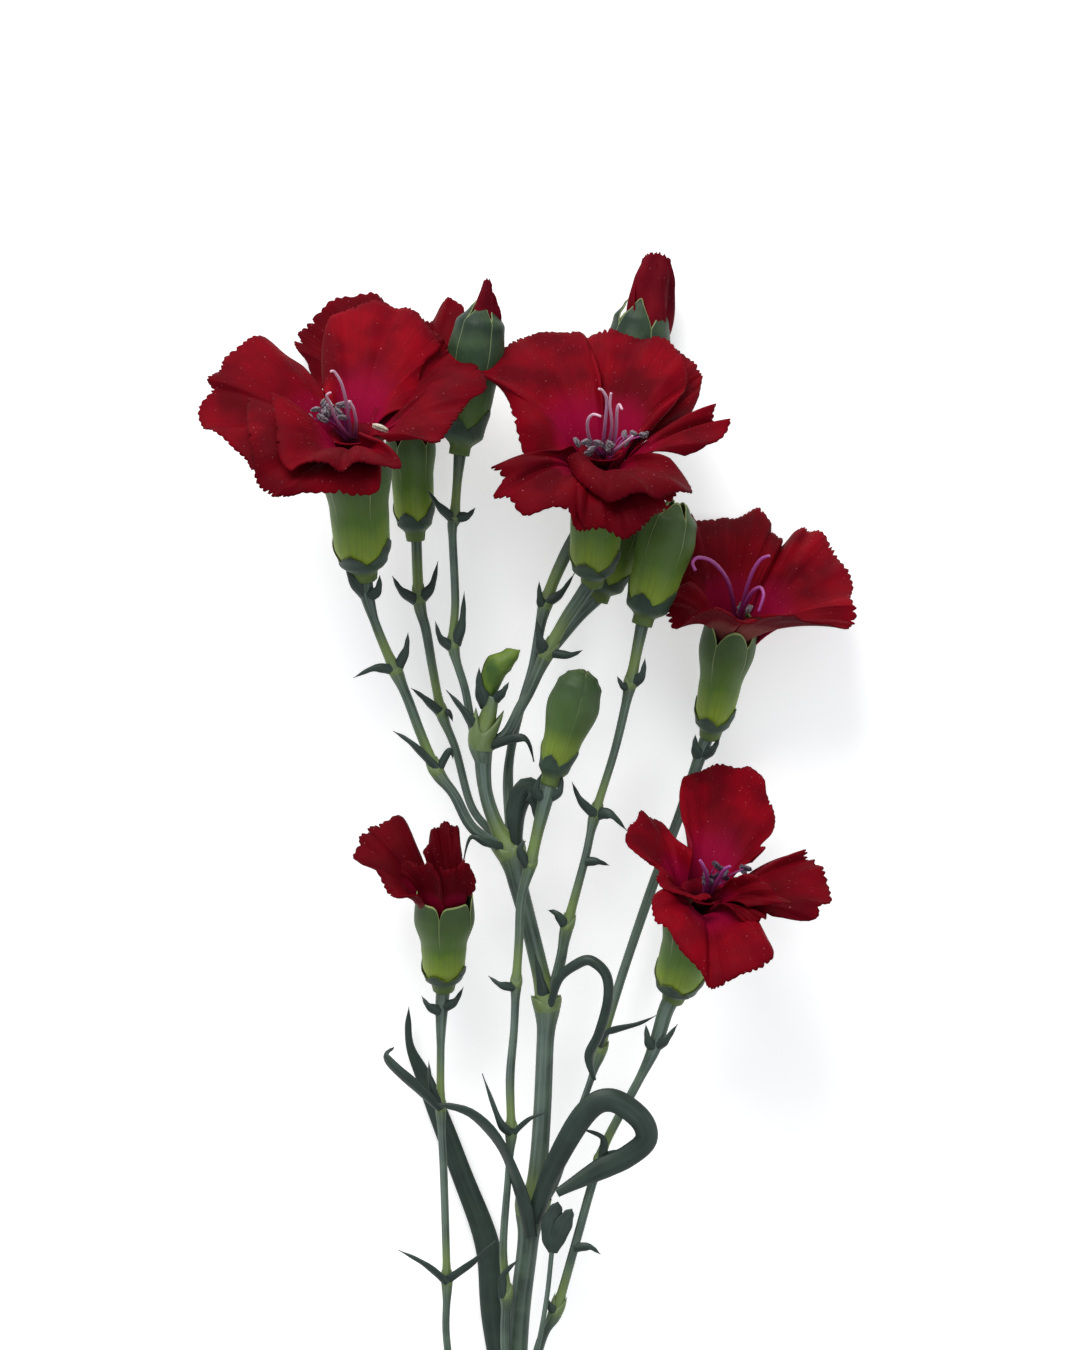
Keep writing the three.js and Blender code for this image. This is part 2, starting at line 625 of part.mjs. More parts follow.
function solidOf(geometry) {
  const numbers = {
    numProp: 3,
    vertProperties: geometry.getAttribute("position").array,
    triVerts: new Uint32Array(geometry.index.array),
  };
  const solid = new wasm.Manifold(new wasm.Mesh(numbers));
  if (solid.volume() > 0) return solid;
  for (let i = 0; i < numbers.triVerts.length; i += 3)
    [numbers.triVerts[i], numbers.triVerts[i + 1]] = [numbers.triVerts[i + 1], numbers.triVerts[i]];
  return new wasm.Manifold(new wasm.Mesh(numbers));
}

function geometryOf(solid) {
  const mesh = solid.getMesh();
  const geometry = new THREE.BufferGeometry();
  geometry.setAttribute("position", new THREE.BufferAttribute(mesh.vertProperties, 3));
  geometry.setIndex(new THREE.BufferAttribute(mesh.triVerts, 1));
  return geometry;
}

// A slab bent over a surface: surface(u, v) gives its middle, u across and v along, both from 0 to 1.
function slab(surface, thickness, across, along) {
  const step = 0.01;
  return reshape(new THREE.BoxGeometry(1, 1, 1, across, along, 1), (p) => {
    const u = p.x + 0.5;
    const v = p.y + 0.5;
    const uStep = u > 0.5 ? -step : step;
    const vStep = v > 0.5 ? -step : step;
    const middle = surface(u, v);
    const acrossIt = surface(u + uStep, v).sub(middle).multiplyScalar(Math.sign(uStep));
    const alongIt = surface(u, v + vStep).sub(middle).multiplyScalar(Math.sign(vStep));
    const normal = acrossIt.cross(alongIt).normalize();
    return middle.addScaledVector(normal, p.z * thickness);
  });
}

// ---------------------------------------------------------------- the kinds of piece

// A round stem through points that each carry their own radius.
function stem(points, extra) {
  const centres = smoothCurve(points.map(vector));
  const steps = points.length - 1;
  const frames = centres.computeFrenetFrames(steps);
  return reshape(new THREE.CylinderGeometry(1, 1, 1, STEM_SIDES, steps), (p) => {
    const t = p.y + 0.5;
    const i = Math.round(t * steps);
    const radius = points[i][3] * STEM_GIRTH + extra;
    return centres
      .getPoint(t)
      .addScaledVector(frames.normals[i], p.x * radius)
      .addScaledVector(frames.binormals[i], -p.z * radius);
  });
}

// A pointed strap that follows a path and faces up, as wide as given a third of the way along.
function strap(path, width, thickness, steps) {
  const middle = smoothCurve(path.map(vector));
  const surface = (u, v) => {
    const along = middle.getTangent(v);
    const aside = new THREE.Vector3(along.y, -along.x, 0.35).normalize();
    const halfWidth = (width / 2) * Math.max(0.16, Math.sin(Math.PI * (0.28 + 0.66 * v)));
    return middle.getPoint(v).addScaledVector(aside, (u - 0.5) * 2 * halfWidth);
  };
  return slab(surface, thickness, 1, steps);
}

// A tube or closed bud turned about the line from its base to its top.
function turned(profile, base, top, sides) {
  const axis = vector(top).sub(vector(base));
  const turn = new THREE.Quaternion().setFromUnitVectors(
    new THREE.Vector3(0, 1, 0),
    axis.clone().normalize(),
  );
  const length = axis.length();
  const points = profile.map(([r, share]) => new THREE.Vector2(r, share * length));
  return reshape(new THREE.LatheGeometry(points, sides), (p) => {
    return p.applyQuaternion(turn).add(vector(base));
  });
}

// The green tube that holds an open flower: a cup, open at the mouth.
function cup(base, mouth, radius, extra) {
  const outer = radius + extra;
  const inner = Math.max(0.5, radius - CALYX_WALL - extra);
  const profile = [
    [0, 0],
    [outer * 0.5, 0],
    [outer * 0.8, 0.12],
    [outer * 0.94, 0.45],
    [outer, 1],
    [inner, 1],
    [inner * 0.92, 0.45],
    [inner * 0.7, 0.2],
    [0, 0.14],
  ];
  return turned(profile, base, mouth, CALYX_SIDES);
}

// A bud whose teeth close over its top.
function closedBud(base, tip, radius, extra) {
  const full = radius + extra;
  const profile = [
    [0, 0],
    [full * 0.5, 0],
    [full * 0.85, 0.12],
    [full, 0.4],
    [full * 0.96, 0.7],
    [full * 0.6, 0.9],
    [0, 1],
  ];
  return turned(profile, base, tip, CALYX_SIDES);
}

// The rolled petals that stand out of an opening bud, from inside the tube to the tip.
function rolledTip(base, tip, radius, extra) {
  const full = radius + extra;
  const profile = [
    [0, 0],
    [full * 0.7, 0.02],
    [full * 0.95, 0.3],
    [full, 0.6],
    [full * 0.75, 0.85],
    [0, 1],
  ];
  return turned(profile, base, tip, CALYX_SIDES);
}

// One petal: a fan of curves that leave the calyx along its axis, bow upwards and end on the petal's rim.
function petal(flower, { sector, ring, bow, rim }, thickness) {
  const heart = vector(flower.heart);
  const mouth = vector(flower.mouth);
  const axis = mouth.clone().sub(vector(flower.base)).normalize();
  const right = new THREE.Vector3(1, 0, 0).addScaledVector(axis, -axis.x).normalize();
  const front = right.clone().cross(axis);
  const edge = smoothCurve(rim.map((p) => vector(p).multiplyScalar(SPREAD).add(heart)));
  const surface = (u, v) => {
    const angle = THREE.MathUtils.degToRad(sector[0] + (sector[1] - sector[0]) * u);
    const place = mouth
      .clone()
      .addScaledVector(right, ring * Math.cos(angle))
      .addScaledVector(front, ring * Math.sin(angle));
    const claw = place.clone().addScaledVector(axis, -CLAW_LENGTH);
    const bend = place.clone().addScaledVector(axis, PETAL_RISE);
    const end = edge.getPoint(u);
    const arch = bend.clone().lerp(end, 0.55).addScaledVector(axis, PETAL_RISE / 2);
    arch.z += bow;
    return new THREE.CubicBezierCurve3(claw, bend, arch, end).getPoint(v);
  };
  return slab(surface, thickness, rim.length > 5 ? 6 : 4, 4);
}

// ---------------------------------------------------------------- assembly

const spray = new THREE.Group();
const placed = [];

function boxesMeet(a, b) {
  const [p, q] = [a.boundingBox(), b.boundingBox()];
  return [0, 1, 2].every((k) => p.min[k] <= q.max[k] && q.min[k] <= p.max[k]);
}

function largestBody(solid) {
  return solid.decompose().reduce((a, b) => (b.volume() > a.volume() ? b : a));
}

// Adds a piece. make(extra) draws it, grown by that much on every side. The new piece gives way, with the
// usual gap, to the pieces that are already there.
function place(name, material, make) {
  let solid = make(0);
  for (const grown of placed) if (boxesMeet(solid, grown)) solid = solid.subtract(grown);
  solid = largestBody(solid);
  placed.push(make(GAP).add(solid));
  const mesh = new THREE.Mesh(geometryOf(solid), new THREE.MeshStandardMaterial(COLOURS[material]));
  mesh.name = name;
  spray.add(mesh);
}

function stemWithBracts(name, extra) {
  const whole = STEMS[name].bracts.map(({ width, path }) =>
    solidOf(strap(path, width + 2 * extra, BRACT_THICKNESS + 2 * extra, 3)),
  );
  return whole.reduce((a, b) => a.add(b), solidOf(stem(STEMS[name].path, extra)));
}

for (const name of Object.keys(STEMS))
  place(name, "stem", (extra) => stemWithBracts(name, extra));

for (const { name, path, width } of LEAVES)
  place(name, "leaf", (extra) => {
    return solidOf(strap(path, width + 2 * extra, LEAF_THICKNESS + 2 * extra, 12));
  });

for (const { name, base, top, radius, open } of BUDS) {
  const shape = open ? cup : closedBud;
  const last = open ? "_calyx" : "";
  place(name + last, "calyx", (extra) => solidOf(shape(base, top, radius, extra)));
}

for (const { name, base, top, radius } of TIPS)
  place(name, "petal", (extra) => solidOf(rolledTip(base, top, radius, extra)));

for (const flower of FLOWERS) {
  const { name, base, mouth, heart, petals, styles } = flower;
  const radius = CALYX_RADIUS * flower.girth;
  place(name + "_calyx", "calyx", (extra) => solidOf(cup(base, mouth, radius, extra)));
  if (styles)
    place(name + "_stamens", "stamen", (extra) => {
      const foot = vector(mouth).lerp(vector(base), 0.2).toArray();
      return solidOf(rolledTip(foot, styles, 1.5, extra));
    });
  for (const drawn of petals)
    place(`${name}_${drawn.name}_petal`, "petal", (extra) => {
      return solidOf(petal(flower, drawn, PETAL_THICKNESS + 2 * extra));
    });
}

export default spray;
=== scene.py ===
"""A cut spray of a single-flowered dark red carnation, lying on a pale floor, seen from above."""

import math
import random

import bmesh
import bpy
from bpy.props import FloatProperty, FloatVectorProperty, IntProperty, PointerProperty
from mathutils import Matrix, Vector


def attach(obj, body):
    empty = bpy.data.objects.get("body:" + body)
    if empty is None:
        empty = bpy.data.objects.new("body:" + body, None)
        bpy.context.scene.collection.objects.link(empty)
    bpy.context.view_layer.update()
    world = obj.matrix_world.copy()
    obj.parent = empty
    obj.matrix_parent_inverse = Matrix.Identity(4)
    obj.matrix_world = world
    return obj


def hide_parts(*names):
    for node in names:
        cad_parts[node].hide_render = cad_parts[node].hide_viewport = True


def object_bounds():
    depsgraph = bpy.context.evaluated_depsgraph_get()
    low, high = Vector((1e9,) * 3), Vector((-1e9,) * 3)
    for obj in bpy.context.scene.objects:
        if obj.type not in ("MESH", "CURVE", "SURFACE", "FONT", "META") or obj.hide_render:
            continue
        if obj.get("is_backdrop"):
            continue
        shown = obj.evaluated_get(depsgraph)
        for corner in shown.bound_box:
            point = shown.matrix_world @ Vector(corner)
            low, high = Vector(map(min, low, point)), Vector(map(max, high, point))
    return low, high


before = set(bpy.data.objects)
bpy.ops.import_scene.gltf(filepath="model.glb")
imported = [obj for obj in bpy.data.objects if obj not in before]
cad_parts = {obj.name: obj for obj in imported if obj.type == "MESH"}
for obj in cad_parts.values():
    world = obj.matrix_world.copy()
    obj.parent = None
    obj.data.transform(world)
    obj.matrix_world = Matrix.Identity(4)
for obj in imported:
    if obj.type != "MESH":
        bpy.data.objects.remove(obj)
cad_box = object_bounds()

bl_info = {
    "name": "Cut carnation spray",
    "version": (1, 0, 0),
    "blender": (4, 5, 0),
    "location": "View3D > Sidebar > Carnation",
    "description": "Petals, calyxes, stems, leaves and stamens of a cut carnation spray",
    "category": "Object",
}

MM = 0.001
ROOT = "root"


def linear(text):
    """A colour written in sRGB hex, as linear red, green and blue."""
    shares = [int(text[i : i + 2], 16) / 255 for i in (1, 3, 5)]
    return tuple(s / 12.92 if s <= 0.04045 else ((s + 0.055) / 1.055) ** 2.4 for s in shares)


# ---------------------------------------------------------------- the plant, as drawn, in millimetres

CALYX_RADIUS = 6.0

# Open flowers, as the solids are drawn. Teeth are their depth, how closely they meet and the angle of a
# seam in degrees; grow is the height of their tips against the tube's. A petal leaves its sector of the
# calyx mouth, in degrees, rises over its bow, and ends at its rim, whose points are measured from the
# heart; deep is painted shade: how much darker the petal is painted because it lies away from the light.
FLOWERS = [
    dict(
        name="left_flower", girth=1.08, teeth=(4.5, 1.4, 66), grow=1.06, waisted=False,
        base=(-32.8, 100.8, 23.5), mouth=(-34.4, 124.6, 35.5), heart=(-36.6, 130, 38),
        petals=[
            dict(name="front", sector=(135, 55), ring=2.4, bow=5, deep=0.2, rim=[
                (-14.2, 5, 4), (-13, -1.4, 11), (-12.8, -5.4, 14), (-10.6, -9.2, 17), (-8, -9, 18),
                (-2.4, -9.4, 20), (0, -10.4, 20.4), (3, -8.4, 20), (6.6, -8, 19.5), (11.8, -9.6, 18),
                (9.4, -6, 13), (3.4, -3.2, 8),
            ]),
            dict(name="lower_back", sector=(150, 45), ring=4.3, bow=7, deep=0.3, rim=[
                (-19, 4.4, 0), (-18.8, -1, 7), (-17.8, -6.6, 11), (-16.6, -12, 13), (-13, -15.6, 14),
                (-11.8, -15.6, 14.5), (-7.6, -14.6, 16), (0, -14.2, 17), (6.8, -13.8, 16),
                (7.8, -9.8, 12),
            ]),
            dict(name="left", sector=(235, 160), ring=3.6, bow=3, deep=0.2, rim=[
                (-4.2, 6.6, -8), (-8.4, 12.2, -11), (-12.4, 14.6, -12), (-16.4, 17.2, -12),
                (-19.8, 16, -11), (-23.8, 13, -9), (-25, 10.2, -7), (-27.2, 8.6, -6), (-26.4, 6.8, -5),
                (-29, 3.8, -3), (-28.2, -0.2, 0), (-26, -1.4, 3), (-22.4, -4.4, 6), (-19.2, -7.6, 8),
                (-17.8, -10.2, 9),
            ]),
            dict(name="right", sector=(290, 400), ring=1.7, bow=3, deep=0.4, rim=[
                (15, 14.6, -19), (21.4, 15.2, -19), (24.4, 12.6, -15), (27, 10.8, -11), (28.6, 6.8, -6),
                (25, 5, -2), (23.4, 2.2, 1), (21.4, -1, 4), (19, -4.2, 7), (16.6, -4.8, 8),
                (13, -3.8, 8), (9, -3.6, 7),
            ]),
            dict(name="top", sector=(245, 310), ring=3.4, bow=3, deep=0, rim=[
                (-4, 6, -6), (-4.6, 14, -12), (-3.8, 20.6, -17), (-1.8, 23.2, -19), (2.4, 24.6, -20),
                (5.8, 24.8, -20.5), (10, 23.4, -20), (13.4, 23, -19), (17, 18.8, -16.5),
                (19.2, 16.4, -14), (17, 14, -11.5), (15.4, 11.4, -9.5), (14.4, 6, -6),
                (11.6, 2.6, -3.5),
            ]),
            dict(name="mid_right", sector=(295, 375), ring=2.2, bow=3, deep=0.5, rim=[
                (15, 19, -20), (17.8, 18.2, -19), (20.4, 16.4, -17), (21.4, 13, -14.5),
                (22.6, 9.4, -12), (21, 7.4, -9.5), (19.2, 2.6, -5), (15.8, 0, -2),
            ]),
        ],
    ),
    dict(
        name="rear_flower", girth=0.76, teeth=(4.5, 1.4, 50), grow=1.04, waisted=False,
        base=(-22.8, 108.8, 9.2), mouth=(-23.8, 130, 13.6), heart=(-27.2, 135, 15.8),
        petals=[
            dict(name="top_right", sector=(255, 325), ring=3.4, bow=2, deep=0.5, rim=[
                (-9.4, 21.2, -14.2), (-4.4, 21.8, -14.6), (-1.4, 20.4, -14.6), (4, 19.4, -14.3),
                (5.6, 18, -14.3), (8, 17.6, -14), (10.2, 20, -14), (11.6, 21, -13.5), (14.2, 18.8, -12),
                (13.2, 14, -9), (12.4, 9.6, -7),
            ]),
            dict(name="top_left", sector=(262, 195), ring=3.4, bow=2, deep=0.6, rim=[
                (-3.6, 21.8, -14), (-10.4, 21, -14), (-14.4, 19, -14), (-18.4, 16.2, -13.5),
                (-19.6, 14.8, -13), (-19, 12.8, -12.5), (-20.2, 12.2, -12), (-19.6, 10, -11),
                (-17.6, 8.6, -9), (-16, 4.8, -7), (-13.2, 2.4, -5),
            ]),
        ],
    ),
    dict(
        name="centre_flower", girth=0.95, teeth=(4.5, 1.4, 66), grow=1.06, waisted=False,
        base=(13, 99.6, 19.5), mouth=(14.4, 121.4, 31.5), heart=(15.4, 126, 34),
        petals=[
            dict(name="front", sector=(110, 20), ring=2.4, bow=8, deep=0.65, rim=[
                (-7.8, -3.4, 6), (-5.6, -7, 13), (-2, -10.4, 16), (1.4, -11.8, 17.5), (6, -11, 18),
                (10, -11.8, 17.5), (13.4, -10.4, 16), (17, -9.8, 13), (15.8, -6.6, 9), (12.6, -3.4, 6),
            ]),
            dict(name="bottom", sector=(130, 45), ring=4.2, bow=6, deep=0.5, rim=[
                (-6.6, -12.6, 14), (-4.4, -17.2, 16), (0, -17.2, 16.5), (4.6, -19.4, 16),
                (8, -16.6, 15), (11, -13.4, 14), (14.2, -10.2, 12),
            ]),
            dict(name="lower_left", sector=(200, 120), ring=3.6, bow=6, deep=0.5, rim=[
                (-8.6, -1.4, 2), (-12, -2.4, 3), (-16.6, -3.2, 4), (-19.4, -3.8, 4.5), (-22.8, -5.8, 6),
                (-20.4, -7.4, 8), (-22.2, -10.2, 9.5), (-19.4, -11, 11), (-16.2, -14.8, 13.5),
                (-11.6, -13.6, 15), (-7.6, -14.6, 15.5), (-6.2, -17, 16), (-3.8, -17.2, 16.5),
            ]),
            dict(name="right_narrow", sector=(345, 385), ring=3.4, bow=2, deep=0.4, rim=[
                (12.6, 0.2, -4), (17, 3.4, -6), (19.6, 6, -6), (22, 7.4, -5.5), (21.6, 5.8, -4),
                (22.6, 4.2, -3), (25, 4.8, -2), (23.4, 1, 1), (19.8, -1.4, 3), (15.8, -2, 4),
            ]),
            dict(name="upper_left", sector=(195, 280), ring=3.5, bow=4, deep=0.1, rim=[
                (-9, -1.6, 0), (-15.4, -2.6, -2), (-18, 3, -4), (-19.4, 8.6, -6), (-21.6, 11.4, -8),
                (-24.8, 13.4, -9), (-24.4, 15, -10), (-23, 17.4, -12), (-19.6, 20.4, -15),
                (-17, 22.4, -17), (-13.8, 23.2, -18), (-9, 22.6, -18.5), (-4.6, 22.4, -18.5),
                (-2.8, 19, -16), (-1.2, 13.8, -12),
            ]),
            dict(name="upper_right", sector=(250, 335), ring=3.7, bow=3, deep=0.15, rim=[
                (-8.6, 20, -20), (-4.6, 22.2, -20.5), (0, 23.6, -20), (4, 22.6, -19), (8, 21, -18),
                (12, 21.2, -16.5), (15, 18.6, -13), (16.4, 15, -10), (16.2, 12.2, -8), (14.2, 8.8, -5),
                (9, 3, -2),
            ]),
            dict(name="right_behind", sector=(305, 350), ring=4.4, bow=2, deep=0.3, rim=[
                (14.6, 19, -20), (17.8, 16.6, -18.5), (19.6, 15, -17), (19.4, 12.6, -15),
                (18.4, 8.4, -12), (15, 4.6, -9), (10, 1.6, -5),
            ]),
        ],
    ),
    dict(
        name="right_flower", girth=0.9, teeth=(4, 2.2, 48), grow=1.2, waisted=True, base=(37, 69, 7.2),
        mouth=(40.4, 87.4, 17.8), heart=(42.4, 93, 20.3),
        petals=[
            dict(name="lower_right", sector=(15, 100), ring=1.8, bow=3, deep=0.4, rim=[
                (23.4, 0.4, 1), (23.2, -2.2, 4), (20.8, -2, 6), (22.2, -3.2, 7), (20.6, -4.2, 8),
                (17.6, -3.2, 10), (14.4, -2, 11.5), (11.2, -1.4, 12.5), (8.6, -2, 13), (4.4, -1.6, 12),
            ]),
            dict(name="right", sector=(305, 380), ring=3.5, bow=3, deep=0.1, rim=[
                (7.2, 11.4, -12), (9.4, 14, -15.5), (11.2, 15.8, -17.5), (12.8, 16.6, -18),
                (14, 16.6, -18), (15, 15.6, -17.5), (16.6, 15.6, -17), (18.4, 14, -15),
                (19.8, 12.6, -13.5), (20.8, 10.2, -11), (22.6, 8, -9), (23.2, 4.8, -6), (22.4, 2.2, -3),
                (23.4, -0.8, 0),
            ]),
            dict(name="left", sector=(205, 110), ring=2, bow=2.5, deep=0.4, rim=[
                (-10, 5.2, -4), (-13.6, 3.2, -1), (-15.2, 0.8, 1), (-14.6, -1.2, 4), (-12.8, -3.2, 7),
                (-10.6, -2, 9), (-8.6, -0.8, 10.5), (-5.4, -0.6, 12), (-1.6, -1.6, 13),
                (1.2, -2.4, 13.5), (3.6, -2, 13),
            ]),
            dict(name="back_left", sector=(205, 310), ring=3.5, bow=3, deep=0.35, rim=[
                (-14.4, 2, -3), (-12.8, 8, -8), (-11.4, 13, -12), (-9.6, 19.2, -16), (-8.4, 18, -17),
                (-4.8, 18.4, -17.8), (-1.6, 19.4, -18.4), (0.8, 19.8, -18.6), (3.2, 20.6, -18.6),
                (4.8, 20.2, -18.6), (6.6, 17.8, -17.6), (6.8, 15.8, -17), (8, 14.8, -15.5),
                (9.2, 14.8, -14.5), (7.4, 10.8, -11),
            ]),
        ],
    ),
    dict(
        name="lower_right_flower", girth=0.95, teeth=(4.5, 1.4, 60), grow=1.06, waisted=False,
        base=(29.4, 16.2, 20), mouth=(34, 34, 31.5), heart=(36, 38, 34),
        petals=[
            dict(name="lower", sector=(175, 5), ring=0.9, bow=7, deep=0, rim=[
                (-9.2, 0.2, 7), (-11.2, -1.6, 9), (-11.6, -4.2, 11), (-11, -7, 12.5),
                (-8.4, -8.4, 14.5), (-7.2, -11, 16.5), (-5.2, -13.6, 18), (-2, -16.4, 19.5),
                (-0.6, -18.4, 20), (0.8, -19, 20.3), (2.8, -18.4, 20), (6.4, -17, 19.5),
                (9.6, -16.2, 18.5), (12.2, -13.6, 16.5), (11, -10, 13.5), (9.2, -6.6, 11),
            ]),
            dict(name="right_roll", part_of="right", sector=(350, 410), ring=2.6, bow=4, deep=0.4, rim=[
                (3.2, -0.2, 1), (4.8, 1.2, 4), (7.2, 2.2, 6), (9.8, 2.2, 8), (11.6, 0.8, 9),
                (13, -1.2, 10), (16, -3.8, 11), (12, -3.2, 12.5), (7.4, -3.6, 12),
            ]),
            dict(name="right_low", part_of="right", sector=(10, 60), ring=2, bow=4, deep=0.5, rim=[
                (12, -2.6, 9), (11.4, -5, 11), (10.4, -6.4, 12), (8, -6.6, 13), (4.6, -5.2, 12),
            ]),
            dict(name="right", sector=(325, 385), ring=3.6, bow=2, deep=0.4, rim=[
                (8, 0.2, -4), (11.2, 1.4, -7.5), (15, 5.4, -9.5), (17.6, 6.4, -9), (19.8, 7.2, -8),
                (20.2, 5.6, -7.5), (21.4, 5.6, -6.5), (21.2, 4, -5.5), (23, 2.8, -4), (23.8, -0.4, -1),
                (24.2, -3.4, 2), (22, -4.2, 4), (21.4, -5.8, 6), (18.4, -6, 6.5), (12.4, -5.4, 7),
            ]),
            dict(name="left", sector=(225, 140), ring=3.3, bow=3, deep=0.1, rim=[
                (-3.6, 6.2, -4), (-6.4, 9, -7), (-9.2, 13, -10), (-12, 14.4, -10), (-13.6, 15, -9.5),
                (-14.4, 13, -7), (-16, 11.6, -5.5), (-16.8, 8, -1.5), (-14, 5.6, 2), (-12, 5.2, 4),
                (-10, 3.8, 6), (-10.6, 1.8, 7), (-9.6, 0, 8.5), (-5.6, -1.6, 10.5), (-2.4, -3.2, 11),
                (0.2, -2.8, 9),
            ]),
            dict(name="top", sector=(235, 325), ring=3.5, bow=2, deep=0, rim=[
                (-3.6, 7.8, -5), (-5.2, 12.6, -9), (-5.6, 17, -12), (-5.4, 19.8, -14.5),
                (-4.6, 21.8, -16.5), (-2, 23, -18.5), (0.2, 23.8, -19.5), (2.4, 24, -20),
                (6.4, 22.6, -20), (8.6, 23, -20), (11.4, 21.2, -18), (11.8, 18.4, -15.5), (13, 16, -13),
                (13.6, 13.4, -11), (13, 11, -9), (10.4, 7.8, -6.5), (11.2, 6.8, -6), (8.4, 4.2, -4),
            ]),
        ],
    ),
    dict(
        name="half_open_flower", girth=0.97, teeth=(3.2, 7, 99), grow=1.27, waisted=True,
        base=(-17, 18.2, 15), mouth=(-16.8, 32.2, 22), heart=(-19.6, 38, 24),
        petals=[
            dict(name="front", sector=(150, 85), ring=2.9, bow=3, deep=0.6, rim=[
                (-5.6, 1.8, 3), (-5.4, 4.2, 4), (-3.2, 4.8, 6), (-0.8, 4.6, 7), (0.8, 3.2, 8),
                (2, 1, 8.5), (1.8, -2, 8),
            ]),
            dict(name="right", sector=(100, 0), ring=3, bow=3, deep=0.6, rim=[
                (2.2, 3.4, 7), (3.4, 3.4, 7.5), (5.2, 4, 7), (6.4, 4.6, 6), (8, 3.4, 5), (9, 1.6, 4),
                (9, -0.2, 3.5), (7.4, -2, 3),
            ]),
            dict(name="left", sector=(235, 140), ring=3.2, bow=3, deep=0.6, rim=[
                (-2, 5.4, -6), (-3.2, 8.4, -8), (-4.8, 11.6, -9), (-6.6, 13, -9.5), (-9.2, 11.8, -9),
                (-11, 11.6, -8.5), (-12.6, 11.2, -8), (-12.4, 10.2, -7), (-14.2, 10, -6),
                (-14.4, 8.6, -5), (-15.6, 6.6, -3), (-14.4, 5, -2), (-12, 3.6, 0), (-10.4, 2.2, 1.5),
                (-9.2, -0.4, 3), (-8, -2.2, 4), (-6.6, -3.2, 4.5), (-3.2, -3, 5),
            ]),
            dict(name="upper", sector=(240, 345), ring=3.2, bow=2, deep=0.8, rim=[
                (-1.6, 5.6, -5), (-0.4, 8, -6.5), (0.2, 11, -7.5), (1.2, 12, -8), (2.6, 12.4, -8.5),
                (3.8, 11.4, -8.5), (5.4, 11.4, -8), (5.8, 9.2, -6.5), (6.2, 7, -4.5), (6.4, 4.2, -3),
            ]),
        ],
    ),
]

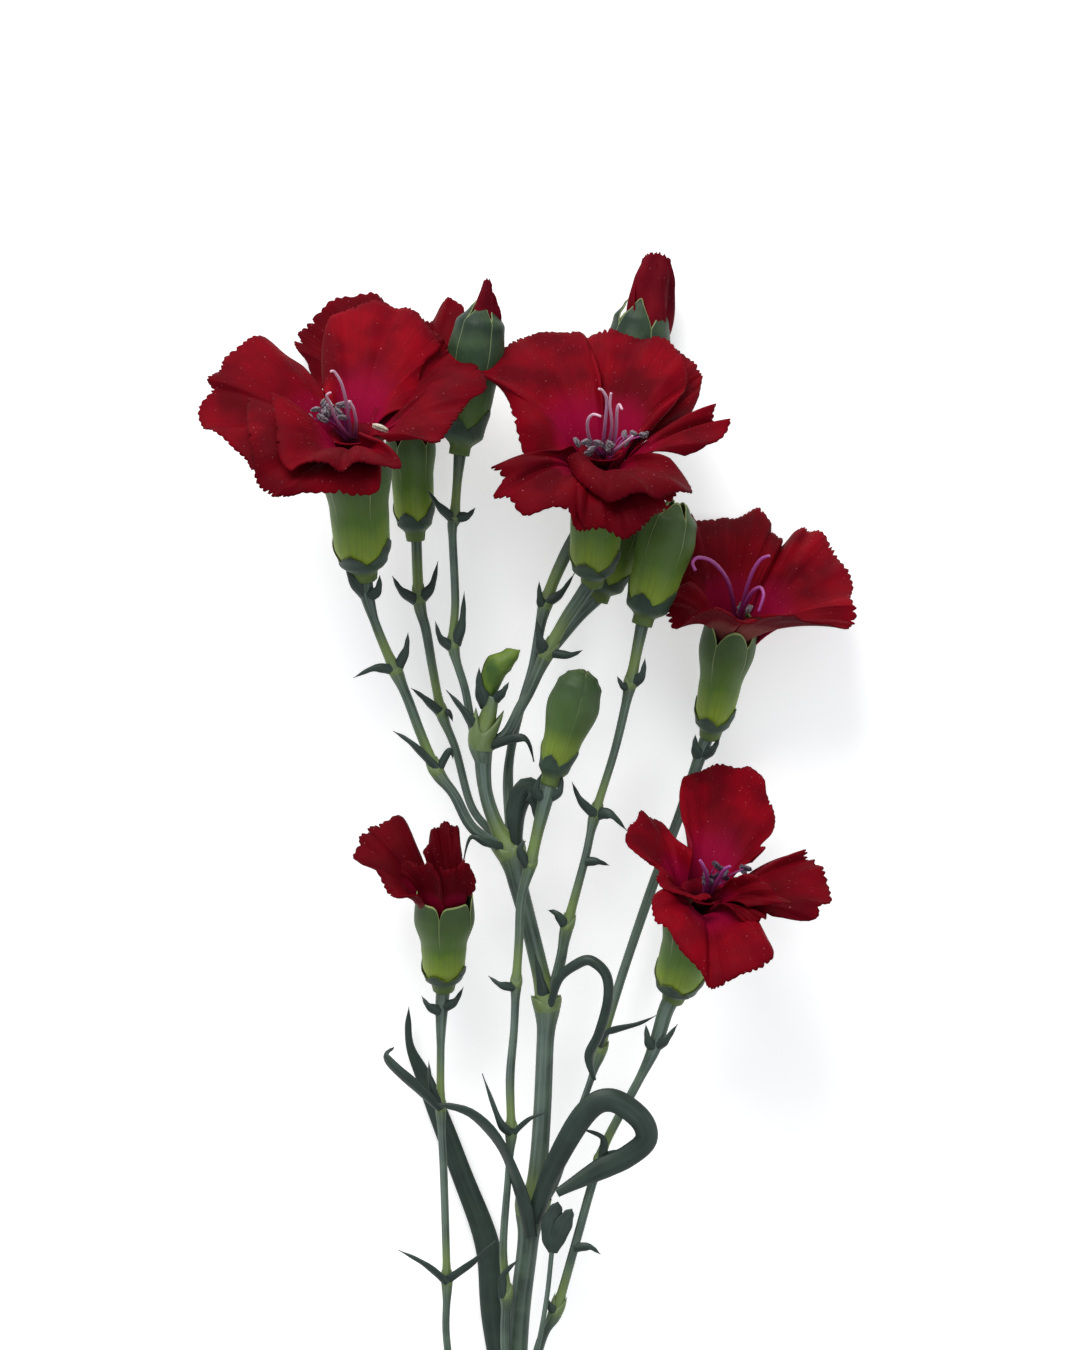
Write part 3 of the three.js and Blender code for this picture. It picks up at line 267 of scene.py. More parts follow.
# A stem is x, y, z and radius from its foot to its top, where a thick point is a node. Its bracts are a
# width and a path.
STEMS = {
    "main_stem": dict(
        path=[
            (-4.6, -165, 2.3, 2.2), (-4, -125, 3.7, 2.2), (-3.2, -85, 6.6, 2.15), (-2, -53, 9.6, 2.1),
            (-0.2, -36, 11.8, 2.1), (0.6, -28.2, 12.5, 3), (1.6, -23, 13, 2), (2.4, -15, 13.6, 1.85),
            (3, -5, 14.3, 1.8), (3.4, 5, 15.1, 1.75), (3.8, 13.4, 15.7, 2.6), (3, 18, 16.2, 1.8),
            (0.4, 29, 17, 1.7), (-2, 38, 17.6, 1.9), (-3.2, 44, 18, 2.8), (-6.4, 50, 18.5, 1.5),
            (-8.6, 57, 19, 1.4), (-9.2, 65.8, 19.5, 1.9),
        ],
        bracts=[
            (4.3, [
                (-0.4, -33, 14.4), (-2.6, -23, 17.2), (-5.8, -14.4, 19), (-11.6, -8, 19),
                (-18.2, -6.2, 17),
            ]),
            (2.4, [(3.8, 12.2, 17), (2.6, 18, 18.5), (1.4, 24, 18.5)]),
            (4, [(-1.8, 44.6, 20), (-2, 52.6, 22), (-0.2, 57, 22.5), (2, 55, 22), (2.6, 49, 20.5)]),
            (1.6, [(-4.6, 45, 20), (-8.6, 46.4, 21.5), (-11.6, 47.4, 21), (-13, 42.4, 20)]),
            (2.4, [(-8.8, 65.8, 21), (-12.4, 72, 22), (-16.4, 77, 20.5)]),
            (1.8, [(-8, 65.4, 21), (-0.8, 67.4, 23), (1.2, 62.6, 21)]),
        ],
    ),
    "left_flower_stem": dict(
        path=[
            (-3.2, 44.6, 18.5, 1.1), (-10.8, 49, 20, 1.1), (-14.8, 56, 21, 1.06),
            (-18.2, 60.6, 21.5, 1.38), (-21.4, 68, 22, 1.01), (-24, 75, 22.2, 1.01),
            (-26.4, 80.6, 22.4, 1.38), (-28.6, 85.4, 22.5, 0.97), (-30.8, 91, 22.7, 0.92),
            (-32.2, 96, 23, 1.47), (-32.8, 100.4, 23.2, 1.66),
        ],
        bracts=[
            (1.8, [(-18.2, 60.6, 22.5), (-23, 66, 23.5), (-27, 68.8, 22)]),
            (1.4, [(-17.6, 61.4, 22.5), (-15.6, 65, 23), (-15, 63, 22)]),
            (1.8, [(-26.4, 80.6, 23.4), (-30.6, 81.4, 24), (-35, 79.4, 22.5)]),
            (1.8, [(-26, 81.4, 23.4), (-24.4, 85, 24), (-24, 88.6, 23)]),
            (2.2, [(-32.4, 95.6, 24), (-35.2, 99, 25), (-36.6, 103.4, 24.5)]),
            (2.2, [(-32, 95.8, 24.4), (-30, 97, 25.5), (-29.6, 100, 26)]),
        ],
    ),
    "rear_flower_stem": dict(
        path=[
            (-4, 45, 16, 0.83), (-8, 49, 14.5, 0.83), (-11.6, 54, 13.4, 0.83), (-14.6, 65, 12, 0.83),
            (-17.4, 72.2, 11.2, 1.2), (-19.2, 81, 10.6, 0.92), (-20.6, 89, 9.8, 1.01),
            (-22, 95, 9.4, 1.29), (-22.6, 108.2, 9.2, 1.1),
        ],
        bracts=[
            (1.8, [(-17.6, 71.8, 12), (-20.6, 75, 13), (-23.6, 77.4, 12)]),
            (1.4, [(-17.2, 72.6, 12), (-15.8, 72.2, 12.5), (-15.2, 70.6, 11.5)]),
            (2, [(-22.2, 94.6, 10.4), (-25.6, 97, 11), (-27.4, 100, 10)]),
            (2, [(-21.8, 95, 10.4), (-19.4, 98, 10.4), (-18.2, 103, 9.4)]),
        ],
    ),
    "centre_flower_stem": dict(
        path=[
            (-9.2, 65.8, 19.8, 1.1), (-4.6, 68, 20.3, 1.1), (-1.6, 73.4, 20.2, 1.1), (0.4, 77, 20, 1.1),
            (3.6, 84, 19.6, 1.47), (7.4, 91, 19.4, 1.2), (10.4, 95.4, 19.3, 1.38),
            (12.8, 99, 19.4, 1.56),
        ],
        bracts=[
            (2.2, [(3.4, 83.6, 20.6), (2.4, 87, 21.5), (1.6, 91.4, 21)]),
            (1.6, [(4.4, 84.6, 20.6), (8.4, 84, 21), (11, 85, 20)]),
        ],
    ),
    "hidden_flower_stem": dict(
        path=[
            (3.6, 83.6, 18, 1), (6.4, 87, 16.5, 1), (10.4, 92, 14.5, 1.2), (14.4, 96, 13, 1.5),
        ],
        bracts=[],
    ),
    "tall_bud_stem": dict(
        path=[
            (-3.2, 45.8, 17, 1.1), (-4, 57, 15.2, 1.1), (-3.6, 64, 14.6, 0.9), (-1.6, 73, 14, 0.9),
            (1, 82, 12.8, 0.9), (3.4, 94, 11.4, 1.4), (7.4, 104, 9.8, 1.3), (13.4, 115, 8.2, 1.3),
            (18.8, 125.4, 7, 1.6),
        ],
        bracts=[
            (1.8, [(3.2, 93.6, 12.6), (2.4, 95.4, 13), (2.2, 99, 12.3)]),
            (1.8, [(3.8, 94.4, 12.6), (6.8, 96.6, 12.4), (9.4, 100.6, 11)]),
        ],
    ),
    "left_bud_stem": dict(
        path=[
            (-9.6, 66.6, 19.5, 0.83), (-11, 68.6, 19.5, 0.83), (-12.6, 77, 19.3, 0.83),
            (-15, 85.8, 19, 1.2), (-14.6, 95, 18.6, 0.83), (-15.2, 109, 18.2, 0.83),
            (-14.8, 111.4, 18, 1.2), (-14.2, 119, 17.8, 0.92), (-13.6, 125.2, 17.6, 1.38),
        ],
        bracts=[
            (1.8, [(-15.2, 85.4, 20), (-17.6, 87.4, 20.5), (-18.6, 90.8, 19.5)]),
            (2, [(-14.6, 86, 20), (-13.2, 90.6, 20), (-12.8, 96.8, 18.8)]),
            (1.8, [(-15, 111, 19), (-18, 114, 19.2), (-20.2, 117.2, 18)]),
            (1.8, [(-14.4, 111.6, 19), (-12, 112, 19), (-10.6, 113.6, 18)]),
        ],
    ),
    "green_bud_stem": dict(
        path=[
            (-3.2, -81, 9.5, 1), (-4.6, -55, 12.2, 1), (-4.4, -45, 13.2, 1.3), (-5, -35, 14.6, 0.8),
            (-4, -21, 16.3, 0.7), (-3.4, -12, 17.6, 1.2), (-3.6, -1, 18.6, 0.9), (-2.8, 9, 20, 0.8),
            (-2.4, 18, 21, 1.1), (-1.8, 27, 22.1, 0.9), (-1.4, 35, 23, 0.9), (0.4, 42, 24, 1.3),
            (2, 49, 25, 1.2), (3.6, 55.6, 25.7, 1.6), (4.4, 59.2, 26, 1.8),
        ],
        bracts=[
            (1.8, [(-4.6, -45.4, 14.3), (-5, -41, 15.5), (-1.8, -37.4, 16)]),
            (2, [(-3.6, -12.4, 18.7), (-5.8, -9.4, 20), (-9.2, 0, 18.5)]),
            (1.2, [(-3, -12.4, 18.5), (0.4, -9, 19.8), (4.2, -7.6, 19.5)]),
            (1.6, [(-2.6, 17.4, 22), (-5.6, 18, 22.8), (-8, 19.8, 22)]),
            (1.8, [(0.2, 41.4, 25), (-1.6, 45, 26), (-0.4, 47, 26)]),
            (1.8, [(3.4, 55.2, 26.8), (1.6, 57, 28), (2.8, 60.6, 28.4)]),
            (1.8, [(4.2, 55.4, 26.6), (6.4, 57, 27.2), (6.8, 60.6, 27)]),
        ],
    ),
    "open_bud_stem": dict(
        path=[
            (3.8, 12.6, 16.4, 1.1), (6.4, 22, 17.4, 1.1), (7.8, 29.4, 18.2, 1.29), (11.4, 43, 20, 0.83),
            (13.4, 52, 21.2, 1.2), (17.4, 65, 22.4, 0.83), (20.4, 78, 23.4, 1.29),
            (21.8, 85, 23.8, 1.1), (23, 90.8, 24, 1.38),
        ],
        bracts=[
            (1.8, [(7.6, 29, 19.2), (5.8, 32, 20), (4, 32.8, 19)]),
            (1.8, [(13.4, 51.6, 22.3), (10.4, 55, 23.5), (8.8, 58.6, 22.5)]),
            (2, [(14, 52.2, 22.3), (16.8, 52, 23.5), (19.8, 48.8, 22.5)]),
            (1.6, [(11.4, 42.6, 21), (14, 42.6, 21.5), (16.4, 41.8, 20.5)]),
            (1.6, [(20.2, 77.6, 24.4), (18.8, 78, 25), (17.8, 79.8, 24.4)]),
            (2, [(20.8, 78.2, 24.4), (22.8, 80, 25), (23.4, 83.4, 25)]),
        ],
    ),
    "right_flower_stem": dict(
        path=[
            (0.4, -30.2, 12.3, 0.94), (5, -23, 12.3, 0.94), (8.2, -14, 11.6, 0.77),
            (12.2, -3, 11, 0.68), (14.4, 4, 10.4, 1.36), (17.8, 15.6, 9.4, 0.94),
            (20.8, 24.8, 8.6, 0.94), (25.4, 38, 7.4, 1.02), (30.4, 51, 6.7, 1.02),
            (34.8, 63.6, 6.4, 1.27), (36.6, 68.6, 6.6, 1.44),
        ],
        bracts=[
            (1.6, [(14.8, 5, 11.6), (16.4, 8, 13), (22.4, 9.8, 13.5), (25.8, 11.4, 12.5)]),
            (2, [(34.6, 63.2, 7.6), (33.8, 65.4, 8.4), (33.8, 68, 7.8)]),
            (2, [(35.2, 63.6, 7.4), (37.4, 65, 7.9), (38.8, 67.4, 7.2)]),
        ],
    ),
    "lower_right_flower_stem": dict(
        path=[
            (-2.6, -75, 8.5, 1), (2.4, -55, 11.2, 1), (5.6, -48.2, 12.2, 1.4), (9.4, -35, 14.4, 0.9),
            (12.4, -24, 16, 0.9), (14.4, -17.6, 17, 1.3), (16.2, -12.6, 17.6, 0.9),
            (22.4, -1, 18.6, 0.9), (25.4, 5.4, 19.2, 1.4), (27.6, 12.6, 19.6, 1.6),
            (29.2, 15.8, 19.8, 1.8),
        ],
        bracts=[
            (1.6, [(5.4, -48.6, 13.4), (4.4, -47, 14.2), (3.4, -45, 14)]),
            (1.6, [(9.2, -35.4, 15.3), (12.4, -35, 16), (14.6, -36.6, 15)]),
            (1.6, [(14.2, -18, 18), (15, -13, 19.5), (10.4, -11, 19)]),
            (1.6, [(14.8, -17.2, 18), (18.4, -16, 19), (21.8, -17.4, 18)]),
            (2, [(25.2, 5, 20.4), (24, 7, 21.2), (23.6, 10, 20.6)]),
            (2, [(25.8, 5.4, 20.4), (27.8, 7, 21), (30, 10, 20)]),
        ],
    ),
    "half_open_flower_stem": dict(
        path=[
            (-5.6, -113, 4.8, 0.9), (-13.2, -75, 6.9, 0.8), (-16.4, -55, 8.6, 0.75),
            (-16.4, -42.6, 9.8, 1.1), (-17, -21, 11.4, 0.8), (-17.6, -7.4, 12.6, 1.1),
            (-17.6, 5, 13.6, 0.8), (-17.4, 12.6, 14.3, 1.3), (-17, 17.8, 14.8, 1.5),
        ],
        bracts=[
            (2.4, [(-17.8, -7.8, 13.5), (-23.6, -2, 16), (-28.6, 3, 14.5), (-27, 5, 13.5)]),
            (1.4, [(-18, -7, 13.6), (-19.6, -2, 15), (-20, 2.4, 14.2)]),
            (1.8, [(-17.6, 12.2, 15.6), (-20, 13.4, 16.2), (-21.4, 15.4, 15.4)]),
            (1.8, [(-17, 13, 15.6), (-14.6, 14.4, 16), (-13, 17.2, 15)]),
            (1.8, [(-16.6, -43, 10.8), (-20.6, -39, 12), (-26.2, -36, 10.8)]),
            (1.8, [(-16, -42.4, 10.8), (-10.6, -38, 12.6), (-6.6, -34, 12.6)]),
        ],
    ),
    "small_bud_stem": dict(
        path=[
            (-0.8, -65.4, 11.4, 0.5), (2, -55, 14, 0.5), (3.8, -45, 15.2, 0.5), (4.8, -35.8, 16, 0.5),
            (5.6, -30.6, 16.4, 0.6),
        ],
        bracts=[
            (3.4, [(5, -36.2, 16.3), (4.8, -31, 17.4), (6, -25.8, 17.6)]),
            (3, [(5.4, -36.2, 16.3), (6.8, -31.4, 17.6), (8.8, -27.2, 17.5)]),
        ],
    ),
    "sprout_stem": dict(
        path=[
            (-8.8, 58.6, 19, 1.4), (-9, 62.6, 19.3, 1.5), (-9.4, 66.8, 19.9, 2.5), (-8, 71.8, 21, 1.6),
            (-7, 75.8, 21.8, 1.2),
        ],
        bracts=[
            (2.6, [(-8, 73.4, 22), (-9.6, 77, 23.2), (-9.8, 81.6, 23.4)]),
            (1.8, [(-6.8, 74.6, 22.4), (-5, 76.6, 24.2), (-3.8, 78.6, 24.4)]),
        ],
    ),
}

# How wide a leaf is at shares of its length, against its full width: a long leaf, a small one at a node, a
# young folded one and one that curls round.
STRAP = [(0, 0.8), (0.18, 1), (0.55, 0.75), (0.9, 0.25), (1, 0.02)]
SCALE = [(0, 1), (0.3, 0.88), (0.65, 0.45), (1, 0.02)]
BROAD = [(0, 0.4), (0.3, 0.9), (0.6, 1), (0.85, 0.6), (1, 0.05)]
LOOP = [(0, 0.7), (0.25, 1), (0.85, 0.95), (1, 0.4)]

# The large leaves: away is the side that faces away from the stem, and keel how deep the tip is folded.
LEAVES = [
    dict(
        name="long_leaf", width=5.6, away=(0, 0, 1), keel=0.15, outline=STRAP, skin="leaf",
        path=[
            (-2.8, -75.4, 5.6), (-6.6, -51, 3.4), (-8.2, -36, 3), (-13.6, -21, 2.6), (-20.6, -3, 2.6),
            (-24, 5, 3.2), (-24.2, 12.8, 4),
        ],
    ),
    dict(
        name="curled_leaf", width=4.8, away=(0.2, 0, 1), keel=0.15, outline=LOOP, skin="leaf",
        path=[
            (1.2, -30.2, 15.4), (5, -19.4, 20), (11.4, -8, 24), (16.6, -5, 25), (22.4, -8.6, 24),
            (23.8, -13, 22), (20, -16.6, 20.5), (14.2, -19.4, 19.5), (5.8, -24, 19),
        ],
    ),
    dict(
        name="arched_leaf", width=2.2, away=(0.3, 0, 1), keel=0.3, outline=LOOP, skin="leaf",
        path=[
            (4.6, 13.4, 18.2), (6.4, 19, 21), (9.8, 22, 23), (12.8, 22.8, 24), (15.8, 20, 24),
            (16.2, 15, 22.6), (14.4, 8, 20), (12.4, 3.4, 18.4), (13.4, -1.4, 17.4),
        ],
    ),
    dict(
        name="sprout_leaf", width=6, away=(0.6, 0, 1), keel=0.5, outline=BROAD, skin="sprout",
        path=[
            (-7.2, 75.6, 21.8), (-6.2, 78.8, 23.4), (-4.4, 81.8, 24.2), (-1.6, 85, 23.6),
        ],
    ),
]

# Buds. Teeth and grow are as on the flowers; lean is how far the teeth lean in, as a share of the radius.
BUDS = [
    dict(
        name="tall_bud", base=(19.6, 126.6, 6.9), top=(23.4, 155, 7.2), radius=6.3, open=True,
        teeth=(6, 1.5, 68), lean=0.05, grow=1.04, skin="bud",
    ),
    dict(
        name="left_bud", base=(-13.6, 125.8, 17.8), top=(-9, 153.4, 20.3), radius=5.4, open=True,
        teeth=(3.6, 2.4, 60), lean=0.35, grow=1.05, skin="bud",
    ),
    dict(
        name="green_bud", base=(4.6, 59.6, 26), top=(11.2, 80.8, 29), radius=4.95, open=False,
        teeth=(0.8, 6, 78), lean=0.6, grow=1, skin="closed bud",
    ),
    dict(
        name="open_bud", base=(23.2, 91.6, 24.2), top=(29.6, 113.4, 27.2), radius=5.5, open=True,
        teeth=(3, 3, 56), lean=0.3, grow=1.05, skin="calyx",
    ),
    dict(
        name="hidden_bud", base=(14.6, 96.4, 13), top=(20.8, 114.6, 15), radius=5.2, open=True,
        teeth=(5, 2, 60), lean=0.2, grow=1.05, skin="calyx",
    ),
]

# The furled petals above the teeth; blunt ones are level at the top.
TIPS = [
    dict(name="tall_bud_petals", base=(20.8, 132.6, 7), top=(26.4, 165.2, 7.8), radius=4.1, blunt=True),
    dict(name="left_bud_petals", base=(-12.8, 130.6, 18.2), top=(-7.8, 159.4, 21), radius=2.9, blunt=False),
    dict(name="hidden_bud_petals", base=(15.8, 100, 13.4), top=(23, 120.6, 15.8), radius=3.7, blunt=False),
    dict(name="open_bud_petals", base=(24.8, 97, 25), top=(29.4, 114, 27), radius=4.2, blunt=False),
]

# Stamens and styles: the styles' paths and radius, and where the anthers are and how far they are spread.
STAMENS = [
    dict(
        name="left_flower", style="style", thick=0.4, anther="anther", foot=(-35.6, 126, 34.5),
        anthers_at=(-38.8, 132.4, 38.5), anthers=16, anthers_spread=(4.6, 1.6, 2.2),
        styles=[
            [(-35.2, 127, 35), (-35.6, 132, 40), (-36.6, 137, 44), (-38, 139.6, 46), (-38.8, 139.8, 47)],
            [(-35.2, 127, 35), (-37.6, 130, 41), (-39, 133.4, 45), (-39.6, 135, 47), (-38.8, 135.6, 48)],
            [(-34.4, 127, 35), (-34, 130, 40), (-34.4, 132.6, 44), (-35.2, 134, 46)],
        ],
    ),
    dict(
        name="centre_flower", style="style", thick=0.4, anther="anther", foot=(15.2, 122.6, 31.5),
        anthers_at=(12.8, 125.2, 37), anthers=9, anthers_spread=(4.4, 1.2, 2),
        styles=[
            [(14.8, 123.8, 33), (15.2, 129, 39), (15.6, 134, 43), (14.8, 136, 45), (14, 136.4, 46)],
            [(15.6, 123.8, 33), (16.6, 129, 39), (16.2, 133.4, 43), (16.4, 135.6, 45)],
            [(14, 123.8, 33), (12.2, 127, 38), (11.8, 130, 42), (12.8, 131.4, 44), (14.4, 131, 45)],
            [(16.4, 123.8, 33), (17.4, 128, 38), (17.6, 132, 42), (18, 133.4, 43), (18.6, 132.4, 44)],
        ],
    ),
    dict(
        name="centre_flower_side", style="style", thick=0.4, anther="anther", foot=(16, 122.6, 31.5),
        anthers_at=(21, 127.6, 33), anthers=5, anthers_spread=(2.2, 1.2, 1.4),
        styles=[
            [(16.4, 123.8, 33), (18.8, 125.8, 35), (20.8, 127.4, 37)],
        ],
    ),
    dict(
        name="right_flower", style="violet style", thick=0.5, anther="anther", foot=(41, 88.6, 17),
        anthers_at=(42.8, 93.4, 19), anthers=3, anthers_spread=(2, 1, 1.5),
        styles=[
            [
                (41.6, 89.8, 18), (41, 95, 22), (39.6, 99.4, 25), (36.8, 102.6, 27), (34, 103.4, 28),
                (32.8, 102.4, 29), (33.4, 100.8, 29),
            ],
            [(42.4, 89.8, 18), (43.2, 95, 22), (44.6, 100, 25), (46.4, 103, 27), (48.2, 103.8, 28)],
            [
                (42.8, 89.8, 18), (43.2, 93.4, 22), (44.8, 96.6, 25), (46.4, 97.4, 26), (47, 95.8, 27),
                (46, 92.6, 27),
            ],
        ],
    ),
    dict(
        name="lower_right_flower", style="violet style", thick=0.5, anther="dark anther",
        foot=(34.8, 35, 31), anthers_at=(38.8, 40.2, 35), anthers=12, anthers_spread=(5, 2, 2),
        styles=[
            [(34.8, 35.4, 32), (35.6, 39, 37), (34.8, 42, 40), (34, 43.4, 41)],
            [(35.6, 35.4, 32), (37.6, 39, 37), (38.8, 41.4, 40), (40, 42.2, 41)],
        ],
    ),
]
SHED_ANTHER = (-29.2, 128.8, 40.2)  # an anther that has fallen on a petal
SHED_ANTHER_LENGTH = 3.4


# ---------------------------------------------------------------- curves and sheets


def along(points, t):
    """The place at share t of a smooth curve through the points, which are vectors of any size."""
    spans = len(points) - 1
    x = min(max(t, 0.0), 1.0) * spans
    i = min(int(x), spans - 1)
    f = x - i
    before, start, end, after = (points[min(max(i + k, 0), spans)] for k in (-1, 0, 1, 2))
    return 0.5 * (
        2 * start
        + (end - before) * f
        + (2 * before - 5 * start + 4 * end - after) * f**2
        + (3 * start - before - 3 * end + after) * f**3
    )


def tangent(points, t):
    """The direction of that curve at share t."""
    step = 0.01
    return (along(points, min(t + step, 1.0)) - along(points, max(t - step, 0.0))).normalized()


def bezier(a, b, c, d, t):
    """The place at share t of a curve from a to d that leaves towards b and arrives from c."""
    s = 1 - t
    return a * s**3 + b * (3 * s * s * t) + c * (3 * s * t * t) + d * t**3


def smooth(low, high, x):
    """0 below low, 1 above high and a soft step between them."""
    share = min(max((x - low) / (high - low), 0.0), 1.0)
    return share * share * (3 - 2 * share)


def mixed(a, b, share):
    return a + (b - a) * share


def profile(shape, t):
    """A value read at t from a list of (t, value) pairs, with soft steps between them."""
    for (low, start), (high, end) in zip(shape, shape[1:]):
        if t <= high:
            return mixed(start, end, smooth(low, high, t))
    return shape[-1][1]


SAME_PLACE = 0.002  # vertices this near to each other are merged


def new_mesh():
    mesh = bmesh.new()
    mesh.loops.layers.uv.new("UVMap")
    mesh.verts.layers.float.new("pale")
    return mesh


def sheet(mesh, across, steps, place, material=0, pale=None):
    """Adds a grid and moves each vertex to place(u, v) in millimetres: u across and v along, from 0 to 1.
    Where the piece is pale, and on a petal how much painted shade it gets, is written to its vertices, for
    its material."""
    made = bmesh.ops.create_grid(mesh, x_segments=across, y_segments=steps, size=0.5, calc_uvs=True)
    layer = mesh.verts.layers.float["pale"]
    for vertex in made["verts"]:
        u, v = vertex.co.x + 0.5, vertex.co.y + 0.5
        vertex.co = place(u, v) * MM
        if pale:
            vertex[layer] = pale(u, v)
    for face in {f for vertex in made["verts"] for f in vertex.link_faces}:
        face.material_index = material
        face.smooth = True


def tube(mesh, points, radius, sides=10, steps=24, material=0, pale=None):
    """Adds a closed round tube along points; radius and pale are functions of the share of its length."""
    start = tangent(points, 0.0)
    aside = start.orthogonal().normalized()

    def share(v):
        """The first and the last row of faces are the flat ends."""
        first = 1.0 / steps
        return min(max((v - first) / (1 - 2 * first), 0.0), 1.0)

    def place(u, v):
        t = share(v)
        way = tangent(points, t)
        turned = start.rotation_difference(way) @ aside
        angle = 2 * math.pi * u
        out = turned * math.cos(angle) + way.cross(turned) * math.sin(angle)
        at_end = v < 1e-6 or v > 1 - 1e-6
        return along(points, t) + out * (0.0 if at_end else radius(t))

    sheet(mesh, sides, steps, place, material, pale and (lambda u, v: pale(share(v))))


def blade(mesh, points, width, thickness, away, outline, material=1, steps=20, clasp=0.3, keel=0.1):
    """Adds a pointed leaf along points, thinner at its edges. It is hollowed towards the stem, opposite to
    away, by clasp times its width at its foot and by keel times its width at its tip."""

    def place(u, v):
        way = tangent(points, v)
        side = way.cross(away).normalized()
        face = side.cross(way).normalized()
        angle = 2 * math.pi * u
        across = math.cos(angle)
        half = width / 2 * profile(outline, v)
        hollow = mixed(clasp, keel, smooth(0.0, 0.5, v)) * half * 2 * across**2
        body = math.sin(angle) * thickness / 2 * (1 - 0.6 * across**2)
        return along(points, v) + side * (across * half) + face * (body - hollow)

    sheet(mesh, 12, steps, place, material)


def finished(name, mesh, materials, replaces=(), wall=None):
    """Makes an object of the mesh, which rides on the spray and stands for the named solids. A sheet gets a
    wall: its thickness in millimetres, the side of the sheet that it is on, from -1 to 1, and how many
    materials further on that of its back is."""
    bmesh.ops.remove_doubles(mesh, verts=mesh.verts, dist=SAME_PLACE * MM)
    if not wall:
        bmesh.ops.recalc_face_normals(mesh, faces=mesh.faces)
    data = bpy.data.meshes.new(name)
    mesh.to_mesh(data)
    mesh.free()
    for material in materials:
        data.materials.append(material)
    piece = bpy.data.objects.new(name, data)
    bpy.context.scene.collection.objects.link(piece)
    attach(piece, ROOT)
    solids = [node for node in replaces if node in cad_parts]
    if solids:
        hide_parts(*solids)
    if wall:
        solidify = piece.modifiers.new("Thickness", "SOLIDIFY")
        solidify.use_even_offset = False
        solidify.thickness = wall[0] * MM
        solidify.offset = wall[1]
        solidify.material_offset = wall[2]


class Turned:
    """A frame about the axis of a calyx or bud: places by angle, distance from the axis and height."""

    def __init__(self, base, top):
        self.base = Vector(base)
        self.axis = (Vector(top) - self.base).normalized()
        self.length = (Vector(top) - self.base).length
        self.right = (Vector((1, 0, 0)) - self.axis * self.axis.x).normalized()
        self.front = self.right.cross(self.axis)

    def out(self, angle):
        return self.right * math.cos(angle) + self.front * math.sin(angle)

    def at(self, angle, distance, height):
        return self.base + self.axis * height + self.out(angle) * distance


# ---------------------------------------------------------------- materials


def add(tree, kind, values=None, links=None, **settings):
    """Adds a node with its settings, its sockets' values and its links."""
    node = tree.nodes.new(kind)
    for key, value in settings.items():
        setattr(node, key, value)
    for socket, value in (values or {}).items():
        node.inputs[socket].default_value = value
    for socket, source in (links or {}).items():
        tree.links.new(source, node.inputs[socket])
    return node


def opaque(colour):
    """A colour, in sRGB hex or linear already, as the linear red, green, blue and alpha of a socket."""
    return (*(linear(colour) if isinstance(colour, str) else colour), 1)


def surface(name, tint):
    """A new material, its nodes and its shader; the colour shown in the solid view is tint."""
    material = bpy.data.materials.new(name)
    material.use_nodes = True
    material.diffuse_color = tint
    tree = material.node_tree
    return material, tree, next(n for n in tree.nodes if n.type == "BSDF_PRINCIPLED")


def coat(tree, under, over, share, low=0.0, high=1.0, most=1.0):
    """A colour with another over it: none of it where share is low, and most of it where share is high."""
    amount = {"From Min": low, "From Max": high, "To Max": most}
    amount = add(tree, "ShaderNodeMapRange", amount, {"Value": share})
    values, links = {7: over}, {0: amount.outputs["Result"]}
    (values if isinstance(under, tuple) else links)[6] = under
    return add(tree, "ShaderNodeMix", values, links, data_type="RGBA").outputs[2]


def streaks_along(tree, uv, across, along_it, detail):
    """Fine uneven lines that run from foot to tip: so many across the piece and so many along it."""
    fan = add(tree, "ShaderNodeMapping", {"Scale": (across, along_it, 1)}, {"Vector": uv}).outputs["Vector"]
    return add(tree, "ShaderNodeTexNoise", {"Scale": 1, "Detail": detail}, {"Vector": fan}).outputs["Fac"]


def dress(tree, shader, colour, relief, strength, depth, sockets):
    """Gives the shader its colour, a relief of that depth in millimetres, and the values of its sockets."""
    bump = {"Strength": strength, "Distance": depth * MM}
    bump = add(tree, "ShaderNodeBump", bump, {"Height": relief})
    tree.links.new(colour, shader.inputs["Base Color"])
    tree.links.new(bump.outputs["Normal"], shader.inputs["Normal"])
    for socket, value in sockets.items():
        shader.inputs[socket].default_value = value


